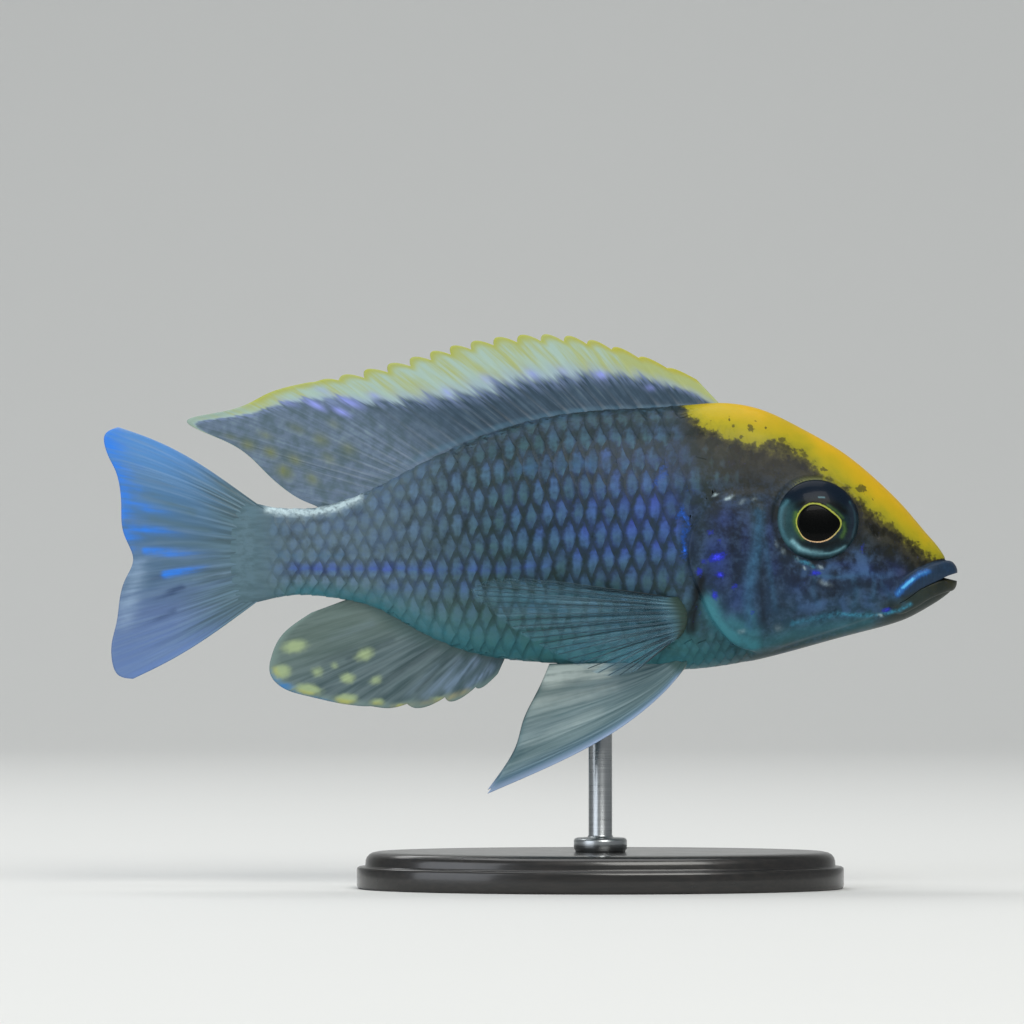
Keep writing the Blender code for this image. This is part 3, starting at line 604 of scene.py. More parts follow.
    # Cyan lines along the jaw; the last row, under the eye, is a painted glint.
    JAW_LINE = (
        (0.26, 0.8, 0, 6.2, -6.95, 7.9, -7.9, 9.6, -8.45, 11.5, -8.6, 16, -8.35),
        (0.4, 0.4, 0, 16, -8.35, 19, -9, 22, -9.6), (0.15, 0.95, 0, 21.8, -0.9, 20.6, -1.3, 19.2, -1.9),
    )
    TEAL_LINES = (
        (1.15, 1.3, 0, 33.6, -6.8, 32.2, -9.4, 30.2, -11.2, 27.2, -12.3), (1.1, 0.8, 0, 30.4, -9.4, 27.4, -10.9),
        (0.5, 0.5, 0, 27.3, -9.8, 27.6, -8.2), (1.1, 0.5, 0, 12, -9.5, 17, -10.2, 22, -11.2, 26, -12.4),
        (1.6, 0.9, 0, 36, -12.2, 38, -12.8),
    )
    SOFT_SPOTS = (
        (95.6, 14.5, 1.1, 0.75, 20, 0.9), (92.6, 13.5, 1, 0.75, 25, 1), (90.7, 10.9, 1.2, 0.9, 35, 1),
        (93.3, 15.8, 1.2, 0.6, 20, 0.5), (85.7, 15.2, 1.1, 0.8, 30, 0.8), (87, 9.9, 1.1, 0.7, 35, 0.7),
        (84.7, 12.7, 1.1, 0.7, 35, 0.5), (89, 16.7, 1.3, 0.6, 25, 0.5), (89.3, 12.5, 1.2, 0.7, 30, 0.7),
        (82.1, 14, 1.1, 0.8, 35, 0.6), (98, 15.6, 1, 0.4, 15, 0.5), (84, 17.3, 1, 0.6, 30, 0.4),
    )
    SOFT_GLINTS = (
        (86.5, 19.9, 1.4, 0.42, 25, 1), (83.1, 19, 1.3, 0.4, 25, 0.9), (81.8, 20.3, 1.6, 0.45, 25, 0.8),
        (85.4, 21.8, 1.7, 0.4, 22, 0.35), (68.7, 21.6, 0.9, 0.5, 35, 0.6), (47.8, 24, 0.75, 0.5, 20, 0.9),
        (57.2, 24.1, 1.1, 0.5, 25, 0.5), (41.2, 22.2, 0.6, 0.4, 20, 0.5), (78.5, 21.2, 0.9, 0.4, 25, 0.5),
        (53, 24.5, 0.9, 0.5, 30, 0.4), (63.5, 23.4, 1, 0.5, 30, 0.4), (90, 20.2, 1.6, 0.35, 20, 0.35),
    )
    TAIL_AZURE = (
        (3, 1, 0, 115.4, 16, 114, 10, 113.4, 5, 113.2, 1.8), (0.9, 0.4, 1, 112, 12.4, 107.5, 9.8),
        (0.8, 0.65, 1, 112.2, 9.2, 107.4, 7.6), (0.7, 1, 1, 112, 6.8, 108.6, 5.8, 103.6, 4.5),
        (0.7, 1, 1, 112, 3.4, 107, 2.8, 101.6, 1.8), (0.6, 1.1, 0.9, 109.6, 0.1, 104.6, -0.2, 99.6, -0.4),
        (0.55, 1.15, 0.95, 106.9, -3.1, 103, -2.4, 99.5, -1.7),
    )
    TAIL_INK = (
        (0.5, 0.8, 0.9, 107, -3.4, 110.6, -3.8), (0.6, 1.1, 0.9, 104.6, -4.8, 107, -6, 110.4, -7.6),
        (0.5, 0.8, 0.9, 105.6, -8, 110.8, -10.4),
    )
    # Grey-olive between the blue streaks.
    TAIL_MOSS = (
        (0.7, 0.9, 0, 109.6, 8, 103, 5.4), (0.6, 0.9, 0, 108.6, 4.5, 101, 2.9), (0.6, 0.8, 0, 107.6, 1.5, 99.5, 0.9),
        (0.5, 0.7, 0, 107, -1.5, 99, -1.2), (0.9, 0.6, 0, 100.5, 5.6, 96.5, 4), (0.7, 0.4, 0, 111, 11, 106, 8.8),
        (0.5, 0.4, 0, 106, -6, 101, -4),
    )
    TAIL_FROST = (
        (1.7, 0.85, 0, 110.6, -1.6, 111.2, -4.5, 112.4, -9), (0.4, 0.5, 1, 98, -2.7, 101, -3.5),
        (0.5, 0.9, 0, 113.6, 16.9, 108, 15.9, 101, 11.6, 95.5, 7.9, 92.5, 6.2), (0.8, 0.3, 0, 105, -9.5, 97, -6),
        (0.3, 0.4, 0, 103, -3.8, 98.5, -2.6),
    )
    ANAL_FROST = (
        (0.9, 0.6, 0, 71.5, -19.6, 66.9, -14.8), (0.9, 0.75, 0, 68.5, -18.4, 64.6, -14.6),
        (0.8, 0.75, 0, 65.8, -18.2, 62.6, -15.6), (0.5, 0.35, 0, 74.2, -19.5, 70, -15.4),
        (1.2, 0.25, 0, 84, -11.6, 79, -9.8),
    )
    ANAL_INK = (
        (0.55, 0.8, 0, 77.5, -17.9, 70, -12.8), (0.5, 0.75, 0, 82.1, -14.5, 76, -12),
        (0.35, 0.65, 0, 72.8, -18.9, 67.5, -13.6), (0.5, 0.45, 0, 85.5, -15, 78.5, -12.4),
        (0.4, 0.5, 0, 75, -15.6, 71, -12.8),
    )
    ANAL_AZURE = (
        (0.7, 1, 0, 92.4, -16.6, 91, -18.2, 89, -18.9), (0.3, 0.7, 0, 89, -19.2, 84, -20.4),
        (0.22, 0.5, 0, 84, -20.6, 79, -21.2),
    )
    # Warm cream along the front of the lower edge.
    ANAL_CREAM = ((0.5, 0.8, 0, 76, -21, 70, -20.3, 65.8, -18.8),)
    PELVIC_FROST = (
        (1.5, 1.4, 0, 55, -16.8, 51.5, -15.9, 47.6, -15.9), (1.6, 0.4, 0, 57, -21, 46.5, -18),
        (1, 0.3, 0, 58, -26, 48, -21.5),
    )
    EGGS = (
        (89.3, -12.8, 1.85, 1, -10, 1), (79.8, -13.9, 1.5, 0.95, -25, 0.9), (91.1, -16.2, 1.4, 1.1, 0, 1),
        (86.2, -16.3, 1, 0.85, 0, 0.75), (83.9, -15.4, 0.75, 0.7, 0, 0.6), (82.1, -17.1, 1.1, 0.85, 0, 0.95),
        (78.3, -17.4, 1.1, 0.75, -15, 0.75), (87.5, -18.6, 1.9, 0.8, 8, 1.1), (82.3, -19.9, 1.6, 0.75, 0, 1.1),
        (78.1, -20.3, 1.2, 0.6, 0, 0.8), (74.8, -20.9, 1, 0.5, 0, 0.7), (70, -19.9, 1.3, 0.45, 0, 0.6),
    )

    def read(self, behind: Array, height: Array, angle: Array) -> dict[str, Array]:
        """The marks at points of the body.

        Args:
            behind: Distances behind the snout.
            height: Heights above the axis.
            angle: Angles from the back.

        Returns:
            For each mark its values: crest in millimetres above the crest's border, girth from 0 on the back
            to 1 on the belly, behind in units of the body's length, and the others from 0 to 1.
        """
        girth = np.abs(((angle + math.pi) % (2 * math.pi) - math.pi)) / math.pi
        flank = rise(33, 39, behind)
        violet = flank * hump(4.6, 9, height) * (0.2 + 0.8 * hump(43, 13, behind))
        row = 0.95 * rise(48, 60, behind) * hump(-2.2, 0.95, height)
        row = row + 0.6 * rise(60, 67, behind) * rise(81, 75, behind) * hump(-4.9, 0.9, height)
        cheek = rise(23.5, 20, behind) * rise(6.5, 9.5, behind) * rise(1.2, -1, height) * rise(-9.4, -7.6, height)
        row = row * rise(95, 89, behind)
        teal = rise(0.66, 0.9, girth) * rise(24, 36, behind) * rise(95, 87, behind)
        seen = behind, height
        return {
            "crest": np.minimum((height - self.CREST(behind)) * 0.8, 9),
            "girth": girth,
            "behind": behind / 100,
            "violet": np.maximum(np.maximum(violet, row), blobs(self.SHEEN, *seen)),
            "teal": np.maximum(teal, strokes(self.TEAL_LINES, *seen)),
            "cyan": strokes(self.JAW_LINE, *seen),
            "ashen": rise(58, 84, behind),
            "glow": blobs(self.GLOW, *seen),
            "painted_glint": np.maximum(blobs(self.PAINTED_GLINTS, *seen), strokes(self.TAIL_GLINT, *seen)),
            "pale": np.maximum(strokes(self.RIDGES, *seen), strokes(self.LATERAL, *seen)),
            "dark": np.maximum(blobs(self.DARK, *seen), strokes(self.FOLDS, *seen)),
            "vein": cheek,
            "chin": rise(11.5, 7.5, behind) * rise(-5, -6.2, height + 0.32 * (behind - 6)),
            "chip": blobs(self.CHIPS, *seen),
            "lip": strokes(self.LIP_STREAK, *seen),
        }


MARKINGS = Markings()


# ---- finishes


class FishSkin(Finish):
    """Moist fish skin: dark slate pigment over guanine, with a film of mucus that gives it a soft wet gloss.

    On a scale, the mark core goes from 0 in the middle of what shows of it to 1 at its borders: the middle
    is iridescent guanine, blue to violet or teal, and the border is olive pigment.
    """

    def __init__(self, name: str, plated: bool = False) -> None:
        """Starts the material with the noises that its steps share; a plated one has the scales' pattern."""
        super().__init__(name)
        self.plated = plated
        self.behind = self.mark("behind")
        self.speck, self.mottle, self.cloud = self.noise(0.45), self.noise(1.6, 4), self.noise(6)

    def paint(self) -> Material:
        """The material with its markings, mottling, painted shade and painted highlights, and relief."""
        speck, mottle, behind = self.speck, self.mottle, self.behind
        crest, chip = self.mark("crest"), self.mark("chip")
        border = crest + mottle * 2.4 + speck * 1.5 + self.noise(3.2) * 1.6 - 2.75
        umber = border.step(-6, -0.8) * behind.step(0.41, 0.34)
        colour = self.over(self.ground(), (umber * 0.78, self.over("#17150A", (mottle.step(0.4, 0.62), "#322C0E"))))
        if self.plated:
            colour = self.scale_pattern(colour, umber)
        ridge = self.mark("pale") * (mottle * 1.6 + speck * 0.6 - 0.5)
        # Near black from the dark mark: painted shade in pits, creases, the mouth's slit and round the lower part of
        # the eye, and darker patches on head and nape.
        colour = self.over(colour, (self.mark("dark") * 0.85, "#11171B"), (ridge, "#3C6A8C"))
        gold = self.add("ValToRGB", {0: crest * 0.11 + self.cloud * 0.3 + mottle * 0.12 - 0.14}, stops=(
            (0, "#827F1A"), (0.2, "#A79A1C"), (0.45, "#CBA41A"), (0.75, "#DDA318"), (1, "#DC9C20"),
        ))
        gold = self.over(gold, (behind.step(0.25, 0.35) * 0.5, "#B5A51F"), (border.step(1.6, -0.2) * 0.55, "#8C8A22"))
        flake = chip * 1.1 + speck * 0.9 + self.noise(0.9, 3) * 0.8 - 0.9
        colour = self.over(
            self.lights(colour),
            (border.step(-1.1, -0.1) * 0.6, "#5A5620"),
            (border.step(-0.3, 0.35), gold),
            (flake.step(0.3, 0.5) * chip.step(0.05, 0.2) * 0.85, "#4F4B1C"),
        )
        return self.dress({
            "Base Color": colour, "Roughness": speck * 0.2 + mottle * 0.14 + 0.28, "Specular IOR Level": 0.22,
            "IOR": TISSUE_IOR, "Coat Weight": 0.06, "Coat Roughness": 0.16,
        }, self.noise(0.35, 1) * 0.4 + mottle * 0.6, 0.07, 0.6)

    def ground(self) -> Value:
        """The pigment under all else: olive on the back, slate blue at the sides, grey-green below."""
        speck, mottle, cloud, behind = self.speck, self.mottle, self.cloud, self.behind
        low = self.mark("girth") + cloud * 0.2 + mottle * 0.12 - 0.16
        head = self.add("ValToRGB", {0: low}, stops=(
            (0, "#2C2D22"), (0.30, "#25281F"), (0.40, "#1E2729"), (0.50, "#1F2B3E"), (0.62, "#243A50"),
            (0.74, "#284454"), (0.86, "#2B4547"), (1, "#2E3C3A"),
        ))
        flank = self.add("ValToRGB", {0: low}, stops=(
            (0, "#2E3F46"), (0.2, "#2C3C3F"), (0.42, "#273839"), (0.6, "#2D4543"), (0.76, "#3C615D"),
            (0.9, "#4A736D"), (1, "#50766F"),
        ))
        net, vein = self.net(), self.mark("vein")
        rays = self.noise(0.5, 2, (8, 1, 1)) * 0.8 + cloud * 0.4
        lip = mottle * 0.7 + self.noise(0.3, 1, (1, 1, 3)) * 0.5 - 0.1
        chin = self.add("Math", {0: self.mark("lower_lip"), 1: self.mark("chin")}, operation="MAXIMUM")
        return self.over(
            head,
            (behind.step(0.30, 0.39), flank),
            (self.mark("ashen") * 0.78, "#62777F"),
            ((mottle + speck * 0.45).step(0.6, 0.95) * 0.42, "#4A6280"),
            ((self.noise(2.6, 3) + speck * 0.2).step(0.58, 0.42) * 0.35, "#151B22"),
            (self.mark("violet") * (mottle * 1.6 + speck * 0.5 - 0.45) * 0.75, "#2A3C8C"),
            (self.mark("teal") * (mottle * 0.9 + speck * 0.3 + 0.2), "#3F7F8C"),
            (net.step(0.42, 0.8) * vein * 0.58, "#466692"),
            (net.step(0.38, 0.12) * vein * 0.6, "#141C28"),
            ((behind + mottle * 0.05 - 0.025).step(0.89, 0.96),
             self.over("#4E6770", (rays.step(0.42, 0.75), "#5B7682"))),
            (self.mark("upper_lip"), self.over("#182331", (lip, "#2A435E"))),
            (chin, self.over("#1D2624", (mottle, "#37443F"))),
        )

    def net(self) -> Value:
        """The net of veins on the cheek: cells of 2.3 mm, their coordinates pushed about by noise of 2 mm."""
        where = self.add("TexCoord", {}, "Object")
        push = self.add("TexNoise", {"Vector": where, "Scale": 500, "Detail": 1}, "Color")
        moved = self.add("VectorMath", {0: push, 1: (1.1 * MM,) * 3, 2: where}, operation="MULTIPLY_ADD")
        feeds = {"Vector": moved, "Scale": 440, "Smoothness": 0.6}
        cell = self.add("TexVoronoi", feeds, "Distance", feature="SMOOTH_F1")
        return cell + self.mottle * 0.5 + self.speck * 0.2 - 0.35

    def lights(self, under: Value) -> Value:
        """Cyan along the jaw, painted highlights as whitish glints, electric blue spots and the bright streak on the
        upper lip.

        Args:
            under: The colour under them.

        Returns:
            The colour with these layers.
        """
        painted_glint = self.mark("painted_glint") * (self.speck * 2.2 + self.noise(1.4) * 1.6 - 0.95)
        glow = self.mark("glow") + self.noise(0.3) * 0.8 - 0.4
        lip = self.mark("lip") + self.noise(0.22, 1, (1, 1, 4)) * 0.5 - 0.25
        rear = self.behind.step(0.352, 0.362)
        return self.over(
            under,
            (self.mark("lid") * 0.55, "#8A9152"),
            (self.mark("cyan") * (self.speck * 3 - 0.7) * 0.75, "#3F95B4"),
            # Painted highlights: the whitish glints.
            (painted_glint, "#B8CED4"),
            (glow.step(0.1, 0.6) * 0.85, self.over("#2431A8", (rear, "#1D4C9C"))),
            (glow.step(0.5, 0.95), self.over("#3D45F0", (rear, "#2F70EC"))),
            (lip.step(0.05, 0.75) * 0.9, "#2A62A8"),
            (lip.step(0.62, 1.2), "#5DB8F0"),
        )

    def scale_pattern(self, under: Value, umber: Value) -> Value:
        """The iridescent middle of each scale, violet above and grey-teal below, over its olive border.

        Args:
            under: The colour under it.
            umber: The dark zone under the crest, where the pattern fades.

        Returns:
            The colour.
        """
        tone, violet, tall, shine, ashen = map(self.mark, ("tone", "violet", "tall", "shine", "ashen"))
        core = self.mark("core") + self.noise(0.7) * 0.75 - 0.37
        blue = self.add("ValToRGB", {0: violet * 0.57 + tone * 0.32 + self.cloud * 0.4 + tall * 0.3 - 0.40}, stops=(
            (0, "#43656C"), (0.3, "#466885"), (0.52, "#4362A0"), (0.72, "#3F52B0"), (0.92, "#383EC0"), (1, "#3C40D8"),
        ))
        grey = ashen * (violet * -0.7 + 0.75)
        blue = self.over(blue, (self.mark("teal") * 0.9 - tall * 0.2, "#437A76"), (grey, "#768FAC"))
        olive = core.step(0.62, 1.25) * shine * (ashen * -0.3 + 0.6)
        strength = shine + tone * 0.35 - umber * 0.4 - 0.2
        return self.over(under, (olive, "#222F28"), (core.step(1.05, 0.2) * strength, blue))


class WetIris(Finish):
    """A fish's iris under a wet cornea: dark blue-green guanine with a gilt ring round the black pupil.

    It reads the mark ring, 0 to 1 over the pupil and 1 to 2 over the iris, and the marks of its colours.
    """

    # Of these layers, pale is painted reflections on the cornea, and dusk a painted shadow over the pupil with dark
    # streaks under it.
    LAYERS = (("navy", "#0F1A27"), ("dusk", "#0E1112"), ("teal", "#2C4A4F"), ("arc", "#436F7C"), ("slate", "#242D39"),
              ("moss", "#4A6A34"), ("pale", "#86BAC6"))

    def paint(self) -> Material:
        """The material, a layer of colour for each mark over a dark teal."""
        ring, speck, cloud = self.mark("ring"), self.noise(0.25), self.noise(1.3, 3)
        flecks = cloud * 0.6 + speck * 0.8 + 0.3
        iris = self.over(
            "#121F25",
            (cloud.step(0.35, 0.65), "#1D3037"),
            *[(self.mark(name) * flecks, colour) for name, colour in self.LAYERS],
            ((ring + speck * 0.06 + cloud * 0.05 - 0.055).step(1.085, 1.03),
             self.over("#D8B088", (self.mark("high").step(-0.65, -0.15), "#A8AE4C"))),
            (ring.step(1.012, 0.985), "#020303"),
        )
        return self.dress({
            "Base Color": iris, "Roughness": speck * 0.2 + 0.2, "Specular IOR Level": 0.1, "IOR": TISSUE_IOR,
            "Coat Weight": 0.08, "Coat Roughness": 0.05,
        })


class FinWeb(Finish):
    """A fin: a clear double skin over bony rays, tinted by guanine and pigment along the rays.

    The marks are ray, its number; along, 0 at the root to 1 at the margin; rim, millimetres from the margin;
    web, 0 on a ray to 1 between two; and the colour marks of each fin.
    """

    def paint(self) -> Material:
        """The material with its streaks, ray lines and relief."""
        return self.dress({
            "Base Color": self.colour(), "Roughness": self.noise(0.5) * 0.2 + 0.34, "Specular IOR Level": 0.35,
            "IOR": TISSUE_IOR, "Coat Weight": 0.1, "Coat Roughness": 0.25,
        }, self.streaks(6, 5) * 0.6 + self.noise(0.4) * 0.4, 0.05, 0.45)

    def streaks(self, across: float, along: float) -> Value:
        """Noise drawn out along the rays, with that many patches for each ray gap and fin length."""
        joined = self.add("CombineXYZ", {0: self.mark("ray"), 1: self.mark("along")})
        mapped = self.add("Mapping", {"Vector": joined, "Scale": (across, along, 1)})
        return self.add("TexNoise", {"Vector": mapped, "Scale": 1, "Detail": 2}, "Fac")

    def frayed(self, *layers: tuple) -> list[tuple]:
        """Layers of colour from marks frayed along the rays, each given by its mark, strength and colour."""
        streak = self.streaks(4, 2.5) * 1.7 + self.noise(1.5) * 0.6 - 0.4
        return [((self.mark(name) * streak).step(0, 1.1) * strength, colour) for name, strength, colour in layers]

    def colour(self) -> Value:
        """The fin's colour; each fin has its own."""
        raise NotImplementedError


class DorsalWeb(FinWeb):
    """The dorsal fin's web: slate below, a pale band streaked with yellow-green, and a yellow-green rim."""

    def colour(self) -> Value:
        """Slate to the band's jagged border, lavender at it, then pale streaks and the rim."""
        ray, web, rim, band, along = map(self.mark, ("ray", "web", "rim", "band", "along"))
        fine, coarse = self.streaks(5, 2.2), self.streaks(1.3, 1.4)
        cloud, blotch = self.noise(3), self.noise(1.3, 3)
        slate = self.add("ValToRGB", {0: fine * 0.6 + coarse * 0.5 + blotch * 0.25 - 0.18}, stops=(
            (0.2, "#263844"), (0.5, "#3A4E5F"), (0.8, "#54697C"),
        ))
        grey = self.add("ValToRGB", {0: fine * 0.35 + cloud * 0.4 + blotch * 0.55 - 0.08}, stops=(
            (0.35, "#4F6268"), (0.5, "#5B6F7C"), (0.62, "#697B91"), (0.8, "#7C939E"),
        ))
        soft = ray.step(12, 17.5)
        seam = along.step(0.035, 0.055) * along.step(0.12, 0.07) * ray.step(19, 15)
        edge = band + fine * 0.6 + coarse * 0.5 - web * 0.1 - 0.5
        slate = self.over(
            slate,
            (fine.step(0.56, 0.78) * 0.35, "#5E6C70"),
            (soft * 0.85, grey),
            (self.mark("olive") * (blotch * 1.3 + fine * 0.3) * 0.85, "#747C40"),
            (seam * (cloud * 0.8 - 0.1), "#4E7890"),
            (edge.step(1.45, 1) * fine.step(0.4, 0.62) * 0.62, "#8294BE"),
        )
        lemon = (coarse * 0.8 + fine * 0.6 + ray.step(6, 0) * 0.28).step(0.58, 0.9)
        lilac = (band + fine * 0.3).step(0.7, 1.15) * (soft * 0.3 + 0.5)
        line = rim + fine * 0.9 + coarse * 0.9 - web * 0.3 - 0.7
        tip = ray.step(22.4, 21.4) * ray.step(18.8, 20.4) * line.step(1.8, 0.3)
        return self.over(
            slate,
            ((edge + soft * fine * 0.3).step(1.12, 0.82),
             self.over("#A5BEB4", (lemon * 0.75, "#A9AF58"), (lilac, "#93A8C4"))),
            (self.mark("lavender") * (fine * 1.5 + 0.2) * 0.95, "#94A0F0"),
            (line.step(1.6, 0.1) * ray.step(20.2, 18.6) * 0.8, self.over("#A8AC40", (ray.step(7, 1), "#B0AA2A"))),
            (tip * 0.75, "#8CA296"),
        )


class TailWeb(FinWeb):
    """The tail fin's web: blue-grey at the root, bright blue on the upper trailing edge, lavender below."""

    def colour(self) -> Value:
        """A ramp across the rays for the outer part, over a grey root, then the blue, dark and pale streaks."""
        fine, coarse = self.streaks(3, 2), self.streaks(0.8, 1.6)
        outer = self.add("ValToRGB", {0: self.mark("ray") * (1 / 16) + coarse * 0.16 - 0.08}, stops=(
            (0, "#5890D0"), (0.2, "#5686B6"), (0.42, "#4B6F8F"), (0.55, "#4F6B86"), (0.72, "#5C739C"), (1, "#6480B2"),
        ))
        moss, *streaks = self.frayed(
            ("moss", 0.7, "#55707A"), ("frost", 0.8, "#8FA8C4"), ("ink", 0.75, "#2C4266"), ("azure", 0.92, "#2E80EA"),
        )
        outer = self.over(outer, (fine.step(0.42, 0.68) * 0.3, "#7791AC"), moss)
        reach = self.mark("along") + coarse * 0.5 + fine * 0.25 - 0.37
        return self.over("#485F68", (fine.step(0.35, 0.65), "#5D7A88"), (reach.step(0.18, 0.7), outer), *streaks)


class AnalWeb(FinWeb):
    """The anal fin's web: grey-teal with pale yellow-green egg spots and a pale lower edge."""

    def colour(self) -> Value:
        """Streaked grey-teal, darker in front, with the eggs from the mark egg."""
        ray, rim, fine = self.mark("ray"), self.mark("rim"), self.streaks(4, 2.2)
        egg = (self.mark("egg") + self.noise(0.7) * 0.35 + fine * 0.2 - 0.27).step(0.15, 0.95)
        return self.over(
            "#42565A",
            ((fine * 0.7 + self.streaks(1.2, 1.5) * 0.5).step(0.42, 0.75), "#64767A"),
            (ray.step(5, 0.5) * 0.7, "#375058"),
            (ray.step(6, 9.5) * 0.5, "#66786C"),
            (rim.step(1.8, 0.2) * 0.5, "#7E9690"),
            *self.frayed(
                ("frost", 0.75, "#7F97B4"), ("ink", 0.7, "#2C3D44"), ("azure", 0.9, "#3A7CB8"),
                ("cream", 0.7, "#A39C70"),
            ),
            (egg * 0.92, self.over("#9FB286", (rim.step(1.5, 0.2), "#B3B456"))),
            (self.mark("along").step(0.2, 0.03) * 0.8, "#46605F"),
        )


class PelvicWeb(FinWeb):
    """The pelvic fin's web: smoky grey, a lavender-blue leading edge and a whitish inner corner."""

    def colour(self) -> Value:
        """Streaks of grey, paler by the belly and along the first ray."""
        ray, along, fine = self.mark("ray"), self.mark("along"), self.streaks(6, 2.5)
        return self.over(
            "#4D686F",
            ((fine * 0.7 + self.streaks(1.6, 1.5) * 0.5).step(0.4, 0.8), "#768D92"),
            (ray.step(2, 4.5) * along.step(0.4, 0.95) * 0.6, "#54655F"),
            (ray.step(1.6, 0.4) * 0.6, "#5A7F9C"),
            *self.frayed(("frost", 0.95, "#B8C6C2")),
            ((ray + fine * 0.3 - 0.1).step(0.9, 0.15) * 0.85, "#93A7C6"),
            (along.step(0.07, 0.02), "#3E5C5C"),
        )


class PectoralWeb(FinWeb):
    """The pectoral fin: a clear web that the flank shows through, on a fleshy base."""

    def paint(self) -> Material:
        """The web's material, solid at its base; its rays are a piece of their own."""
        super().paint()
        along = self.mark("along")
        cover = along.step(0.22, 0.05) + self.streaks(3, 2) * 0.6 - along.step(0.5, 1) * 0.14 - 0.1
        return self.dress({"Alpha": self.add("Clamp", {0: cover})})

    def colour(self) -> Value:
        """Blue-grey with paler streaks; grey-green at the base, and near black along the base's front edge as painted
        shade.
        """
        along = self.mark("along")
        # The near-black front edge of the fleshy base is painted shade.
        flesh = self.over("#31463F", (along.step(0.055, 0.01), "#1B1D18"))
        return self.over("#4E8099", (self.streaks(3, 3).step(0.35, 0.7), "#78A5BA"), (along.step(0.2, 0.06), flesh))


class PectoralRay(FinWeb):
    """The pectoral fin's bony rays under dark skin."""

    def colour(self) -> Value:
        """Near-black green, greyer outwards."""
        return self.over("#14232A", (self.mark("along").step(0.3, 1), "#2A424C"))


class BlackLacquer(Finish):
    """Hardwood, turned and lacquered black: a faint grain under a satin film."""

    def paint(self) -> Material:
        """The material, its grain 0.5 mm wide and 25 times as long."""
        grain = self.noise(0.5, 4, (25, 1, 1))
        return self.dress({
            "Base Color": self.over("#131210", (grain.step(0.35, 0.75), "#221E1B")),
            "Roughness": grain * 0.1 + self.noise(3, 4) * 0.12 + 0.2, "Coat Weight": 0.6, "Coat Roughness": 0.12,
        }, grain, 0.03, 0.4)


class BrushedSteel(Finish):
    """Stainless steel, turned and brushed round: fine rings that draw the highlight out."""

    def paint(self) -> Material:
        """The material, its rings 0.25 mm apart, coarser than real ones so that they show."""
        rings = self.noise(0.25, 3, (40, 40, 1))
        colour = self.over("#8F9496", (rings, "#C3C7C9"))
        return self.dress({"Base Color": colour, "Metallic": 1, "Roughness": rings * 0.2 + 0.2}, rings, 0.02, 0.4)


class Paper(Finish):
    """Matt backdrop paper."""

    def paint(self) -> Material:
        """The plain pale material."""
        tone = self.over("#D9DAD8", (self.noise(60, 4) * 0.06, "#C4C6C4"))
        return self.dress({"Base Color": tone, "Roughness": 0.95})


# ---- the skin


@dataclass(frozen=True)
class GillCover:
    """The gill cover's free rear edge, by the cosine of the angle round the body."""

    edge: Curve = Curve((
        (-1, 27.3), (-0.89, 27.6), (-0.84, 29), (-0.72, 31.2), (-0.57, 32.9), (-0.36, 34.5), (-0.14, 35.9),
        (0.06, 36.4), (0.24, 35.2), (0.36, 33.2), (0.46, 31), (0.6, 30.2), (0.8, 30.2), (1, 30.2),
    ))
    crown: float = 36.4
    lift: float = 0.5

    def inside(self, behind: Array, angle: Array) -> Array:
        """Millimetres in front of the free edge, negative behind it."""
        return self.edge(np.cos(angle)) - behind

    def relief(self, behind: Array, angle: Array) -> Array:
        """The cover's swelling up to its edge, and the slit behind it."""
        lean, inside = np.cos(angle), self.inside(behind, angle)
        shown = rise(0.46, 0.02, lean) * rise(-0.95, -0.84, lean)
        plate = self.lift * rise(19, 32, behind) * rise(-0.02, 0.5, inside)
        slit = 0.2 * np.exp(-((np.minimum(inside + 0.12, 0) / 0.5) ** 2)) * (inside < 0)
        return shown * (plate - slit)


